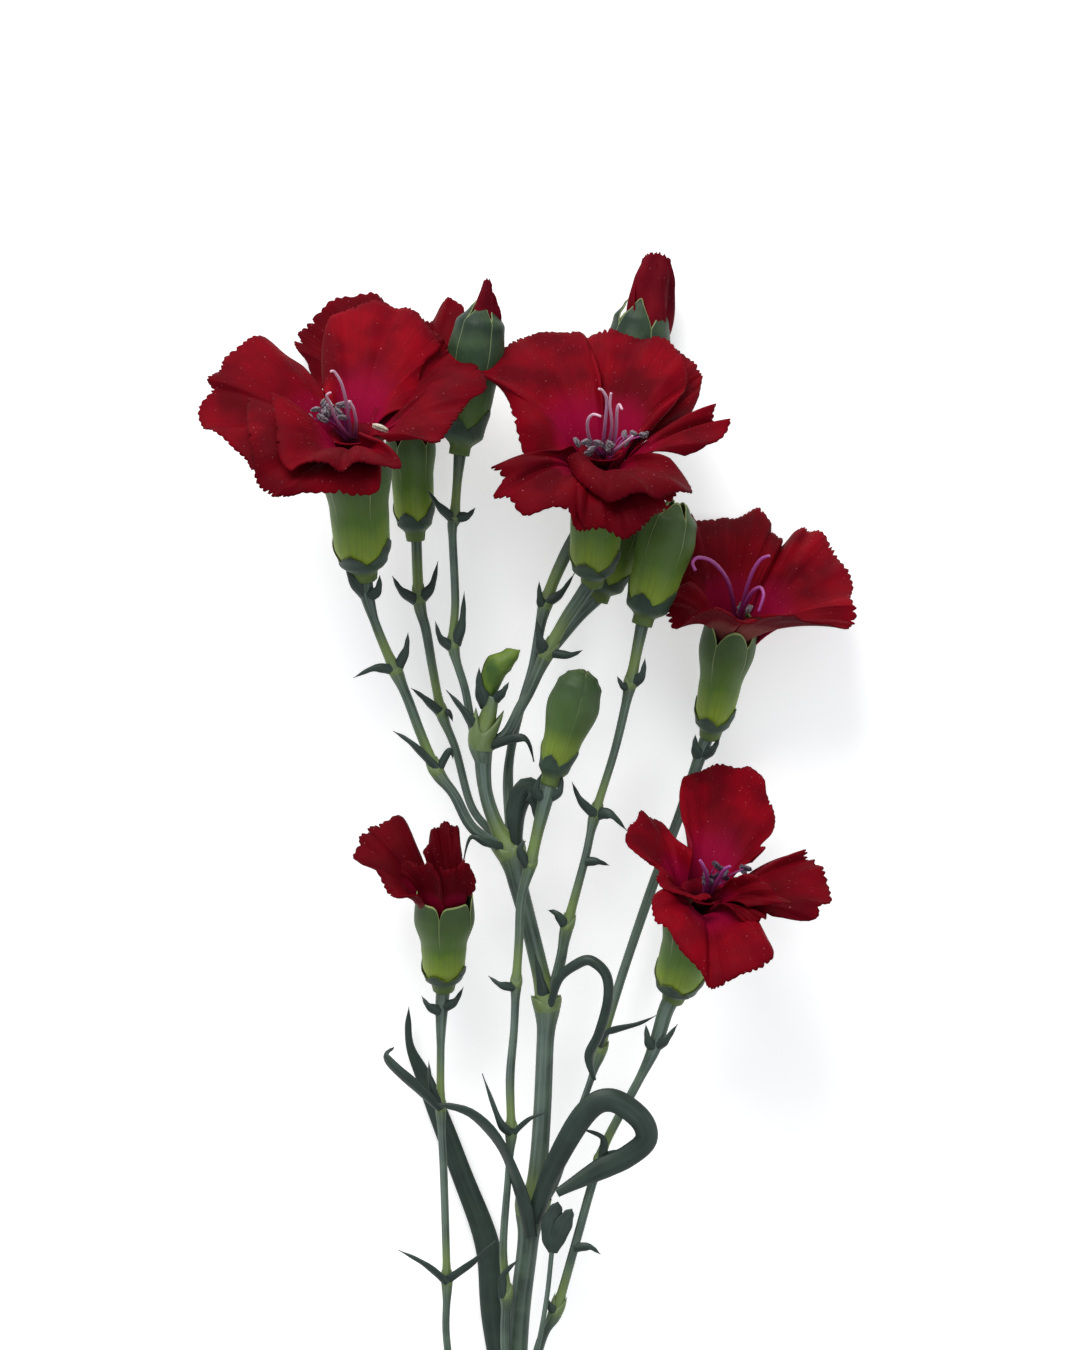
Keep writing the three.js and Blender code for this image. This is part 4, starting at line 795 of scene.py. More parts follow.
def petal_velvet(name, bright, deep, throat):
    """Fresh carnation petal: velvety, deep crimson with a brighter cast in patches of about 9 mm, magenta
    near the throat, with fine veins that fan from the claw to the rim and a little light pollen. The share
    that other pieces use for pale darkens a petal and its throat; on the open petals this is painted shade,
    for those that lie away from the light."""
    material, tree, shader = surface(name, bright)
    place = add(tree, "ShaderNodeTexCoord").outputs["Object"]
    uv = add(tree, "ShaderNodeUVMap", uv_map="UVMap").outputs["UV"]
    height = add(tree, "ShaderNodeSeparateXYZ", {}, {"Vector": uv}).outputs["Y"]
    # painted shade: how much darker each petal is painted, read from the pale attribute
    shade = add(tree, "ShaderNodeAttribute", attribute_name="pale").outputs["Fac"]
    cast = add(tree, "ShaderNodeTexNoise", {"Scale": 0.11 / MM, "Detail": 2}, {"Vector": place})
    colour = coat(tree, deep, bright, cast.outputs["Fac"], 0.35, 0.65)
    veins = streaks_along(tree, uv, 60, 2.0, 4)
    colour = coat(tree, colour, deep, veins, 0.45, 0.75, 0.35)
    # painted shade: darkens the petals that lie away from the light towards a near-black red
    colour = coat(tree, colour, opaque("#450109"), shade)
    near = {"From Min": 0.4, "From Max": 0.68, "To Min": 1.0, "To Max": 0.0}
    near = add(tree, "ShaderNodeMapRange", near, {"Value": height}, interpolation_type="SMOOTHSTEP")
    links = {0: near.outputs["Result"], 1: shade}
    near = add(tree, "ShaderNodeMath", {}, links, operation="SUBTRACT", use_clamp=True)
    colour = coat(tree, colour, throat, near.outputs[0])
    # grains of pollen, 0.4 mm apart: much coarser than real ones, which wouldn't show
    pollen = add(tree, "ShaderNodeTexNoise", {"Scale": 2.6 / MM, "Detail": 1}, {"Vector": place})
    colour = coat(tree, colour, opaque("#c98a92"), pollen.outputs["Fac"], 0.76, 0.8, 0.5)
    velvet = {
        "Roughness": 0.6,
        "Specular IOR Level": 0.03,
        "Sheen Weight": 0.02,
        "Sheen Roughness": 0.5,
        "Sheen Tint": opaque("#c22a3c"),
    }
    dress(tree, shader, colour, veins, 0.6, 0.22, velvet)
    return material


def green_skin(name, low, high, bloom, ribs):
    """Stem or leaf skin: smooth dark green in patches of about 5 mm, under a waxy bloom that is rubbed off
    in places, with fine ribs along its length. Where it is pale, as above a node, it turns yellow."""
    material, tree, shader = surface(name, high)
    place = add(tree, "ShaderNodeTexCoord").outputs["Object"]
    uv = add(tree, "ShaderNodeUVMap", uv_map="UVMap").outputs["UV"]
    patches = add(tree, "ShaderNodeTexNoise", {"Scale": 0.2 / MM, "Detail": 3}, {"Vector": place})
    colour = coat(tree, low, high, patches.outputs["Fac"], 0.35, 0.65)
    streaks = streaks_along(tree, uv, ribs, 3, 3)
    colour = coat(tree, colour, bloom, streaks, 0.4, 0.7, 0.5)
    pale = add(tree, "ShaderNodeAttribute", attribute_name="pale").outputs["Fac"]
    colour = coat(tree, colour, opaque("#718544"), pale)
    dress(tree, shader, colour, streaks, 0.5, 0.08, {"Roughness": 0.5, "Specular IOR Level": 0.3})
    return material


def calyx_skin(name, low, middle, high, edge, seams, first_seam):
    """Calyx or scale: dark green at its teeth and yellow-green low down, with fine nerves along it, wax in
    patches of about 5 mm, thin dry margins, and that many thin pale seams, which run down from between its
    teeth and fade out at first_seam of its height."""
    material, tree, shader = surface(name, middle)
    place = add(tree, "ShaderNodeTexCoord").outputs["Object"]
    uv = add(tree, "ShaderNodeUVMap", uv_map="UVMap").outputs["UV"]
    parts = add(tree, "ShaderNodeSeparateXYZ", {}, {"Vector": uv}).outputs
    across, height = parts["X"], parts["Y"]
    colour = coat(tree, low, middle, height, 0.2, 0.48)
    colour = coat(tree, colour, high, height, 0.4, 0.85)
    nerves = streaks_along(tree, uv, 90, 1.5, 2)
    colour = coat(tree, colour, high, nerves, 0.45, 0.7, 0.3)
    wax = add(tree, "ShaderNodeTexNoise", {"Scale": 0.19 / MM, "Detail": 3}, {"Vector": place})
    colour = coat(tree, colour, opaque("#566b45"), wax.outputs["Fac"], 0.4, 0.7, 0.3)
    turns = add(tree, "ShaderNodeMath", {1: seams}, {0: across}, operation="MULTIPLY")
    apart = add(tree, "ShaderNodeMath", {1: 0.5}, {0: turns.outputs[0]}, operation="PINGPONG")
    line = {"From Min": 0.004, "From Max": 0.013, "To Min": 1.0, "To Max": 0.0}
    line = add(tree, "ShaderNodeMapRange", line, {"Value": apart.outputs[0]})
    above = add(tree, "ShaderNodeMapRange", {"From Min": first_seam, "From Max": 0.8}, {"Value": height})
    links = {0: line.outputs["Result"], 1: above.outputs["Result"]}
    seam = add(tree, "ShaderNodeMath", {}, links, operation="MULTIPLY")
    margin = add(tree, "ShaderNodeMapRange", {"From Min": 0.98, "From Max": 0.99}, {"Value": height})
    links = {0: seam.outputs[0], 1: margin.outputs["Result"]}
    pale = add(tree, "ShaderNodeMath", {}, links, operation="MAXIMUM")
    colour = coat(tree, colour, edge, pale.outputs[0])
    dress(tree, shader, colour, nerves, 0.6, 0.12, {"Roughness": 0.5, "Specular IOR Level": 0.22})
    return material


def style_skin(name, foot, tip):
    """Styles: waxy, half-clear threads with hairs 0.3 mm apart, coloured at the foot, paler at the tip."""
    material, tree, shader = surface(name, foot)
    place = add(tree, "ShaderNodeTexCoord").outputs["Object"]
    uv = add(tree, "ShaderNodeUVMap", uv_map="UVMap").outputs["UV"]
    height = add(tree, "ShaderNodeSeparateXYZ", {}, {"Vector": uv}).outputs["Y"]
    colour = coat(tree, foot, tip, height, 0.15, 0.75)
    hairs = add(tree, "ShaderNodeTexNoise", {"Scale": 3.3 / MM}, {"Vector": place})
    waxy = {"Roughness": 0.4, "Subsurface Weight": 0.15, "Subsurface Scale": 0.3 * MM}
    dress(tree, shader, colour, hairs.outputs["Fac"], 0.6, 0.1, waxy)
    return material


def anther_skin(name, dark, light):
    """Anthers: dry and powdery, with pale clumps of pollen 0.4 mm across."""
    material, tree, shader = surface(name, light)
    place = add(tree, "ShaderNodeTexCoord").outputs["Object"]
    grains = add(tree, "ShaderNodeTexNoise", {"Scale": 2.5 / MM, "Detail": 2}, {"Vector": place})
    colour = coat(tree, dark, light, grains.outputs["Fac"], 0.35, 0.65)
    dress(tree, shader, colour, grains.outputs["Fac"], 1.0, 0.25, {"Roughness": 0.9})
    return material


MATERIALS = {}


def material(name):
    """The named material, made the first time that it is asked for."""
    own = bpy.context.scene.carnation
    kinds = {
        "face": (petal_velvet, "petal velvet", (own.petal_bright, own.petal_deep, own.petal_throat)),
        "underside": (petal_velvet, "petal underside", ("#74101f", "#540a17", "#7a4a42")),
        "claw": (petal_velvet, "petal claw", ("#700518", "#4c0410", "#3d0518")),
        "stem": (green_skin, "stem skin", ("#303e36", "#485a49", own.bloom), 16),
        "leaf": (green_skin, "leaf skin", ("#212e28", "#2c3b33", "#3c4b46"), 12),
        "sprout": (green_skin, "young leaf skin", ("#3f5a1c", "#6d8726", "#2c4a22"), 6),
        "calyx": (calyx_skin, "calyx skin", ("#7c912e", "#527023", "#3a4e29", "#87935c"), 5, 0.5),
        "bud": (calyx_skin, "bud skin", ("#4f6a2a", "#2d4526", "#1d2f22", "#7d8a5c"), 5, 0.35),
        "closed bud": (
            calyx_skin, "closed bud skin", ("#75892f", "#476128", "#34492a", "#5c6d44"), 5, 0.84,
        ),
        "scale": (calyx_skin, "calyx scale skin", ("#56692f", "#34463a", "#2a3b32", "#56633f"), 1, 0.0),
        "style": (style_skin, "style", ("#8a3f70", "#c9a0b4")),
        "violet style": (style_skin, "violet style", ("#6e1149", "#983c86")),
        "anther": (anther_skin, "anther", ("#4a4048", "#8d838b")),
        "dark anther": (anther_skin, "dark anther", ("#2c1526", "#5d5262")),
        "shed anther": (anther_skin, "shed anther", ("#a39a86", "#d9d3c4")),
    }
    if name not in MATERIALS:
        make, label, colours, *sizes = kinds[name]
        MATERIALS[name] = make(label, *(opaque(colour) for colour in colours), *sizes)
    return MATERIALS[name]


# ---------------------------------------------------------------- petals

CLAW_LENGTH = 5.0  # the part of each petal inside the calyx
CLAW_SPREAD = 1.22  # how much wider the ring of claws is than in the solids
PETAL_RISE = 4.0  # how far a petal follows the calyx before it turns outwards
DEEP_TEETH = 0.12  # the share of the cuts between a rim's teeth that are deep ones
RUFFLE_RISE = 0.6  # how far the ruffles turn upwards from the axis of the flower


def petal_place(flower, drawn, settings, chance):
    """The surface of one petal: a fan of curves from the calyx mouth to a toothed and ruffled rim."""
    heart, mouth = Vector(flower["heart"]), Vector(flower["mouth"])
    stand = Turned(flower["base"], flower["mouth"])
    rim = [heart + Vector(point) for point in drawn["rim"]]
    first, last = (math.radians(angle) for angle in drawn["sector"])
    width = sum((b - a).length for a, b in zip(rim, rim[1:]))
    count = max(8, round(width / settings.tooth_spacing))
    teeth = [
        (chance.uniform(0.2, 0.8) + (chance.random() < DEEP_TEETH) * 0.9, chance.uniform(-0.3, 0.3))
        for _ in range(count + 1)
    ]
    waves = [
        (chance.uniform(1.3, 2.2), chance.random(), 1.0),
        (chance.uniform(3.2, 4.6), chance.random(), 0.5),
        (chance.uniform(8.0, 11.0), chance.random(), 0.13),
    ]

    def notch(u):
        """How deep the rim is cut, as a share of the depth of a tooth."""
        x = u * count
        i = min(int(x), count - 1)
        depth, shift = teeth[i]
        return depth * min(abs(2 * (x - i) - 1 + shift), 1.0) ** 1.4

    def place(u, v):
        angle = mixed(first, last, u)
        foot = mouth + stand.out(angle) * (drawn["ring"] * CLAW_SPREAD)
        claw = foot - stand.axis * CLAW_LENGTH
        bend = foot + stand.axis * PETAL_RISE
        end = along(rim, u)
        outwards = (end - bend).normalized()
        arch = mixed(bend, end, 0.55) + stand.axis * (PETAL_RISE / 2) + Vector((0, 0, drawn["bow"]))
        reach = (end - bend).length + CLAW_LENGTH
        facing = 1 - tangent(rim, u).dot(outwards) ** 2
        cut = notch(u) * facing * settings.tooth_depth / reach * smooth(0.85, 1.0, v)
        spot = bezier(claw, bend, arch, end, v - cut)
        ruffle = sum(
            size * math.sin(2 * math.pi * (often * u + phase) + 1.5 * v) for often, phase, size in waves
        )
        side = (stand.axis + Vector((0, 0, RUFFLE_RISE))).normalized()
        return spot + side * (ruffle * settings.ruffle * smooth(0.3, 1.0, v))

    return place


class CARNATION_OT_petals(bpy.types.Operator):
    """Makes every petal of the open and half-open flowers"""

    bl_idname = "carnation.petals"
    bl_label = "Petals"

    def execute(self, context):
        settings = context.scene.carnation
        skins = [material("face"), material("underside")]
        for flower in FLOWERS:
            axis = Turned(flower["base"], flower["mouth"]).axis
            for drawn in flower["petals"]:
                sheet_name = f"{flower['name']}_{drawn['name']}"
                node = f"{flower['name']}_{drawn.get('part_of', drawn['name'])}_petal"
                place = petal_place(flower, drawn, settings, random.Random(sheet_name))
                mesh = new_mesh()
                # the painted shade of this petal, for lying away from the light
                deep = drawn["deep"]
                sheet(mesh, settings.petal_across, settings.petal_along, place, 0, lambda u, v: deep)
                mesh.normal_update()
                facing_up = sum(face.normal.dot(axis + Vector((0, 0, 1))) for face in mesh.faces)
                if facing_up < 0:
                    bmesh.ops.reverse_faces(mesh, faces=mesh.faces)
                wall = (settings.petal_thickness, 0, 1)
                finished(sheet_name + "_velvet", mesh, skins, [node], wall)
        return {"FINISHED"}


# ---------------------------------------------------------------- calyxes and buds

TEETH = 5  # the teeth of a calyx
CALYX_WALL = 0.22
SCALE_TURN = 22  # the angle of the first scale, in degrees
SCALE_HALF_ANGLE = 85  # how far a scale reaches round to each side, in degrees
SCALE_SHAPE = [(0, 1.0), (0.4, 0.8), (0.8, 0.3), (1, 0.02)]  # how wide it is from its foot to its tip
SCALE_FOOT = -1.6  # where the scales begin, along the calyx
SCALE_HEIGHT = 0.26  # of a scale, as a share of the calyx


def calyx_sheet(mesh, stand, radius, length, shape, teeth, lean):
    """Adds a calyx tube with pointed teeth, each lapping over the next, whose tips lean in by that share of
    the radius. Teeth are given as their depth, how closely they meet and the angle of the first seam."""
    tooth_depth, tooth_power, turn = teeth[0], teeth[1], math.radians(teeth[2])

    def gap(u):
        """1 between two teeth and 0 at a tooth's tip."""
        return abs(2 * ((TEETH * u) % 1) - 1) ** tooth_power

    def place(u, v):
        top = length - tooth_depth * gap(u)
        height = v * top
        angle = 2 * math.pi * u + turn
        high = smooth(length * 0.4, length, height)
        leaned = 1 - lean * smooth(length - tooth_depth * 1.4, length, height)
        lapped = 1 + (0.05 * ((TEETH * u) % 1) + 0.03 * (1 - gap(u))) * high
        return stand.at(angle, radius * profile(shape, height / length) * leaned * lapped, height)

    sheet(mesh, 100, 40, place)


def calyx_scales(mesh, stand, radius, shape, tall):
    """Adds two pairs of broad pointed scales that clasp the foot of a calyx, the outer pair lower."""
    for angle, height, lift in ((0, 1.15, 0.15), (180, 1.15, 0.15), (90, 0.85, 0.35), (270, 0.85, 0.35)):
        middle = math.radians(angle + SCALE_TURN)

        def place(u, v, middle=middle, height=height, lift=lift):
            half = math.radians(SCALE_HALF_ANGLE) * profile(SCALE_SHAPE, v)
            rise = SCALE_FOOT + v * (tall * height - SCALE_FOOT)
            outline = profile([(-0.1, 0.3), *shape], rise / stand.length) + 0.02
            distance = radius * outline + lift * (0.4 + 0.6 * v)
            return stand.at(middle + (u - 0.5) * 2 * half, distance, rise)

        sheet(mesh, 20, 14, place, 1)


# The radius of a calyx at shares of its height, against its full radius.
WAISTED_SHAPE = [(0, 0.34), (0.1, 0.6), (0.2, 0.7), (0.42, 0.75), (0.74, 0.98), (1, 0.9)]
CALYX_SHAPE = [(0, 0.34), (0.1, 0.7), (0.22, 0.84), (0.5, 0.88), (0.76, 1.03), (1, 0.9)]
BUD_SHAPE = [(0, 0.3), (0.1, 0.72), (0.35, 0.88), (0.65, 1.0), (0.85, 0.86), (0.95, 0.6), (1, 0.42)]
EGG_SHAPE = [(0, 0.3), (0.1, 0.56), (0.3, 0.72), (0.66, 1.0), (0.86, 0.84), (0.95, 0.58), (1, 0.42)]


def calyx(name, drawn, top, radius, node, shape, lean, skin):
    """One calyx with its scales, in place of the plain solid."""
    stand = Turned(drawn["base"], top)
    mesh = new_mesh()
    calyx_sheet(mesh, stand, radius, stand.length * drawn["grow"], shape, drawn["teeth"], lean)
    calyx_scales(mesh, stand, radius, shape, stand.length * SCALE_HEIGHT)
    skins = [material(skin), material("scale")]
    finished(name, mesh, skins, [node], (CALYX_WALL, -1, 0))


FURLED_COUNT = 7  # the furled petals that show in a bud
FURLED_TURN = 2.4  # from one furled petal to the next, in radians
FURLED_DEEP = 0.4  # how much darker than open petals they are
FURLED_THICKNESS = 0.25


def rolled_petals(tip):
    """The furled petals of a bud: narrow petals wound over each other, with free and slightly flared edges.
    A blunt bud has petals of one height with level tops."""
    stand, radius, blunt = Turned(tip["base"], tip["top"]), tip["radius"], tip["blunt"]
    chance = random.Random(tip["name"])
    mesh = new_mesh()
    for k in range(FURLED_COUNT):
        middle = FURLED_TURN * k + 0.6
        reach = chance.uniform(0.94 if blunt else 0.82, 1.0) if k else 1.0
        inner = 1 - 0.5 * k / FURLED_COUNT
        phase = chance.random()

        def place(u, v, middle=middle, reach=reach, inner=inner, phase=phase):
            across = 2 * u - 1
            ragged = 0.5 * math.sin(37 * u + 9 * phase) + 0.3 * math.sin(83 * u + 20 * phase)
            crown = 1 - (0.03 if blunt else 0.13) * across**2 + 0.014 * ragged * smooth(0.8, 1.0, v)
            height = stand.length * reach * crown * v
            half = profile([(0, 1.7), (0.6, 1.6), (0.9, 1.25), (1, 1.0)], v)
            wound = middle + across * half + 1.1 * v
            full = profile([(0, 0.7), (0.3, 0.92), (0.6, 1.0), (0.85, 0.86), (1, 0.6)], v)
            flared = 0.4 * smooth(0.7, 1.0, -across) + 0.08 * smooth(0.8, 1.0, across)
            flared *= smooth(0.3, 0.8, v)
            ripple = (0.12 + 0.08 * blunt) * math.sin(5 * across + 7 * v + 6 * phase) * smooth(0.2, 0.7, v)
            return stand.at(wound, radius * inner * full * (1 + flared + ripple - 0.06 * across), height)

        sheet(mesh, 40, 40, place, 0, lambda u, v: FURLED_DEEP)
    skins = [material("face"), material("underside")]
    finished(tip["name"] + "_furled", mesh, skins, [tip["name"]], (FURLED_THICKNESS, 0, 1))


CLAWS_ABOVE = 3.6  # how far the claws rise over the mouth of the calyx
CLAWS_DEPTH = 8  # how deep they dip in the middle
CLAWS_WIDTH = 0.78  # how much of the calyx they fill
CLAWS_THICKNESS = 0.2


class CARNATION_OT_calyxes(bpy.types.Operator):
    """Makes the calyx and scales of each flower, and the claws in its throat"""

    bl_idname = "carnation.calyxes"
    bl_label = "Calyxes"

    def execute(self, context):
        for flower in FLOWERS:
            name, mouth = flower["name"] + "_calyx", flower["mouth"]
            radius = CALYX_RADIUS * flower["girth"]
            shape = WAISTED_SHAPE if flower["waisted"] else CALYX_SHAPE
            calyx(name + "_tube", flower, mouth, radius, name, shape, 0.0, "calyx")
            throat = Turned(flower["base"], mouth)

            def funnel(u, v, throat=throat, radius=radius):
                """The claws of the petals side by side, which close the throat."""
                height = throat.length + CLAWS_ABOVE - CLAWS_DEPTH * (1 - v) ** 2
                return throat.at(2 * math.pi * u, CLAWS_WIDTH * radius * v, height)

            mesh = new_mesh()
            sheet(mesh, 30, 12, funnel)
            wall = (CLAWS_THICKNESS, 0, 0)
            finished(flower["name"] + "_claws", mesh, [material("claw")], wall=wall)
        return {"FINISHED"}


class CARNATION_OT_buds(bpy.types.Operator):
    """Makes the buds: calyx, scales and the furled petals that show between the teeth"""

    bl_idname = "carnation.buds"
    bl_label = "Buds"

    def execute(self, context):
        for bud in BUDS:
            name = bud["name"]
            node = name + "_calyx" if bud["open"] else name
            shape = BUD_SHAPE if bud["open"] else EGG_SHAPE
            calyx(name + "_teeth", bud, bud["top"], bud["radius"], node, shape, bud["lean"], bud["skin"])
        for tip in TIPS:
            rolled_petals(tip)
        return {"FINISHED"}


# ---------------------------------------------------------------- stems and leaves


NODE_SWELLING = 1.15  # how far a node swells, against the radius that it is drawn with
PALE_ABOVE = 4.0  # the palest place of a stem, above each node
PALE_REACH = 4.5  # how far it is pale to each side of that
PALE_MOST = 0.75
SHEATH_PALE = 0.6
SHEATH_WALL = 0.25


def stem_into(mesh, drawn):
    """Adds a round stem whose thick points are nodes: short swellings, pale just above."""
    spans = len(drawn) - 1
    points = [Vector(point[:3]) for point in drawn]
    radii = [point[3] for point in drawn]
    lengths = [0.0]
    for a, b in zip(points, points[1:]):
        lengths.append(lengths[-1] + (b - a).length)
    nodes = [i for i in range(1, spans) if radii[i] > max(radii[i - 1], radii[i + 1])]
    plain = list(radii)
    for i in nodes:
        plain[i] = (radii[i - 1] + radii[i + 1]) / 2

    def read(values, t):
        """A value read at t from one for each point, in straight steps."""
        x = t * spans
        i = min(int(x), spans - 1)
        return mixed(values[i], values[i + 1], x - i)

    def hump(t, middle, width):
        """1 at that distance along the stem, and a soft slope to 0 on both sides of it."""
        return math.exp(-(((read(lengths, t) - middle) / width) ** 2))

    def radius(t):
        swelling = sum(
            NODE_SWELLING * (radii[k] - plain[k]) * hump(t, lengths[k], 1.4 + 0.8 * radii[k])
            for k in nodes
        )
        return read(plain, t) + swelling

    def pale(t):
        return min(1.0, PALE_MOST * sum(hump(t, lengths[k] + PALE_ABOVE, PALE_REACH) for k in nodes))

    tube(mesh, points, radius, 18, spans * 8, 0, pale)
    for k in nodes:
        tall = 1.6 + 3.0 * max(0, radii[k] - 1.2)
        collar(mesh, points, radii[k], k / spans, tall / lengths[-1] + 0.005)


def collar(mesh, points, radius, at, tall):
    """Adds the sheath that the two leaves at a node share, which opens upwards and is cut lower in front
    and behind; at and tall are shares of the stem."""
    flare = 0.5 * max(0, radius - 1.5)

    def place(u, v):
        inside = v > 0.5
        up = 2 * (1 - v) if inside else 2 * v
        way = tangent(points, at)
        side = way.cross(Vector((0, 0, 1))).normalized()
        angle = 2 * math.pi * u
        out = side * math.cos(angle) + way.cross(side) * math.sin(angle)
        bulge = radius + 0.16 - 0.25 * abs(2 * up - 0.9) ** 2 + flare * up * math.cos(angle) ** 2
        edge = 0.35 * math.cos(2 * angle)
        return along(points, at + (up - 0.3 + edge * up) * tall) + out * (bulge - SHEATH_WALL * inside)

    sheet(mesh, 30, 10, place, 0, lambda u, v: SHEATH_PALE)


BRACT_SPREAD = 1.3  # how much wider a bract is than drawn, because it is hollowed
BRACT_THICKNESS = 0.45
LEAF_THICKNESS = 0.5


class CARNATION_OT_stems(bpy.types.Operator):
    """Makes the stems with the small leaves at their nodes"""

    bl_idname = "carnation.stems"
    bl_label = "Stems"

    def execute(self, context):
        skins = [material("stem"), material("leaf")]
        for name, drawn in STEMS.items():
            mesh = new_mesh()
            stem_into(mesh, drawn["path"])
            for width, path in drawn["bracts"]:
                points = [Vector(point) for point in path]
                lean = points[-1] - points[0]
                away = Vector((lean.x * 0.1, 0, 1)).normalized()
                outline = STRAP if lean.length > 15 else SCALE if width < 3 else BROAD
                blade(mesh, points, width * BRACT_SPREAD, BRACT_THICKNESS, away, outline)
            finished(name + "_skin", mesh, skins, [name])
        return {"FINISHED"}


class CARNATION_OT_leaves(bpy.types.Operator):
    """Makes the large leaves"""

    bl_idname = "carnation.leaves"
    bl_label = "Leaves"

    def execute(self, context):
        for leaf in LEAVES:
            points = [Vector(point) for point in leaf["path"]]
            mesh = new_mesh()
            away = Vector(leaf["away"]).normalized()
            blade(
                mesh, points, leaf["width"], LEAF_THICKNESS, away, leaf["outline"],
                material=0, steps=90, clasp=0.25, keel=leaf["keel"],
            )
            finished(leaf["name"] + "_blade", mesh, [material(leaf["skin"])], [leaf["name"]])
        return {"FINISHED"}


# ---------------------------------------------------------------- stamens and styles


def anther(mesh, spot, way, length, chance):
    """Adds one anther: a grain with a groove between its two lobes, across the end of its filament."""
    aside = way.orthogonal().normalized()
    lobe = chance.uniform(0.3, 0.4)
    for side in (-0.75, 0.75):
        off = aside * (lobe * side)
        half = way * length / 2
        points = [spot + off - half, spot + off * 1.3 + aside * 0.15, spot + off + half]
        tube(mesh, points, lambda t: lobe * math.sin(math.pi * (0.08 + 0.84 * t)) + 0.05, 8, 8, 1)


FILAMENT_RADIUS = 0.16


class CARNATION_OT_stamens(bpy.types.Operator):
    """Makes the styles and stamens that stand in the open flowers"""

    bl_idname = "carnation.stamens"
    bl_label = "Stamens and styles"

    def execute(self, context):
        for group in STAMENS:
            chance = random.Random(group["name"])
            mesh = new_mesh()
            for path in group["styles"]:
                points = [Vector(point) for point in path]
                tube(mesh, points, lambda t: mixed(group["thick"], group["thick"] * 0.6, t), 10, 40, 0)
            heart = Vector(group["anthers_at"])
            for _ in range(group["anthers"]):
                spread = Vector([chance.uniform(-1, 1) * s for s in group["anthers_spread"]])
                way = Vector([chance.uniform(-1, 1), chance.uniform(-0.6, 0.6), chance.uniform(-0.4, 0.4)])
                spot = heart + spread
                anther(mesh, spot, way.normalized(), chance.uniform(1.6, 2.6), chance)
                foot = Vector(group["foot"])
                bend = mixed(foot, spot, 0.5) + Vector((0, 1.2, 0))
                tube(mesh, [foot, bend, spot], lambda t: FILAMENT_RADIUS, 6, 8, 2)
            skins = [material(group["style"]), material(group["anther"]), material("violet style")]
            finished(group["name"] + "_styles", mesh, skins, [group["name"] + "_stamens"])
        mesh = new_mesh()
        chance = random.Random("shed anther")
        way = Vector((0.9, -0.35, 0.2)).normalized()
        anther(mesh, Vector(SHED_ANTHER), way, SHED_ANTHER_LENGTH, chance)
        skins = [material("anther"), material("shed anther")]
        finished("shed_anther", mesh, skins)
        return {"FINISHED"}


# ---------------------------------------------------------------- stage


VIEW_MIDDLE = (2.4, 80.0)  # where the camera looks, in millimetres from the origin
HEAD_LEVEL = 24.0  # the height of most of the flowers, which the view's size is set at
FLOOR_HALF = 3  # half the floor's side, in metres
LIT_PLACE = (0, 0.08, 0)  # what the lamps point at, in metres


class CARNATION_OT_stage(bpy.types.Operator):
    """Makes the pale floor, the soft lights and the camera that looks down on the spray"""

    bl_idname = "carnation.stage"
    bl_label = "Stage"

    def execute(self, context):
        settings = context.scene.carnation
        context.scene.view_settings.view_transform = "Standard"
        floor_mesh = bmesh.new()
        bmesh.ops.create_grid(floor_mesh, x_segments=2, y_segments=2, size=FLOOR_HALF)
        data = bpy.data.meshes.new("floor")
        floor_mesh.to_mesh(data)
        floor_mesh.free()
        paper, tree, shader = surface("matt white paper", (0.9, 0.9, 0.9, 1))
        for socket, value in {
            "Base Color": (0.88, 0.88, 0.88, 1),
            "Roughness": 0.9,
            "Emission Color": (1, 1, 1, 1),
            "Emission Strength": settings.floor_glow,
        }.items():
            shader.inputs[socket].default_value = value
        data.materials.append(paper)
        floor = bpy.data.objects.new("floor", data)
        context.scene.collection.objects.link(floor)
        floor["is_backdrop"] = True

        for name, place, size, power, tint in (
            ("key lamp", (-0.4, 1.25, 0.9), 0.9, settings.key_power, (1, 0.99, 0.97)),
            ("fill lamp", (0.9, -0.5, 1.4), 1.6, settings.key_power * 0.25, (0.95, 0.97, 1)),
        ):
            lamp = bpy.data.lights.new(name, "AREA")
            lamp.size = size
            lamp.energy = power
            lamp.color = tint
            holder = bpy.data.objects.new(name, lamp)
            holder.location = place
            towards = Vector(LIT_PLACE) - Vector(place)
            holder.rotation_euler = towards.to_track_quat("-Z", "Y").to_euler()
            context.scene.collection.objects.link(holder)

        world = bpy.data.worlds.new("soft room")
        world.use_nodes = True
        background = world.node_tree.nodes["Background"]
        background.inputs["Color"].default_value = (0.93, 0.96, 1, 1)
        background.inputs["Strength"].default_value = settings.room_light
        context.scene.world = world

        lens = bpy.data.cameras.new("camera")
        lens.sensor_width = 36
        lens.lens = lens.sensor_width * settings.camera_height / settings.view_height
        camera = bpy.data.objects.new("camera", lens)
        middle_x, middle_y = VIEW_MIDDLE
        camera.location = (middle_x * MM, middle_y * MM, settings.camera_height + HEAD_LEVEL * MM)
        context.scene.collection.objects.link(camera)
        context.scene.camera = camera
        return {"FINISHED"}


# ---------------------------------------------------------------- settings and panel


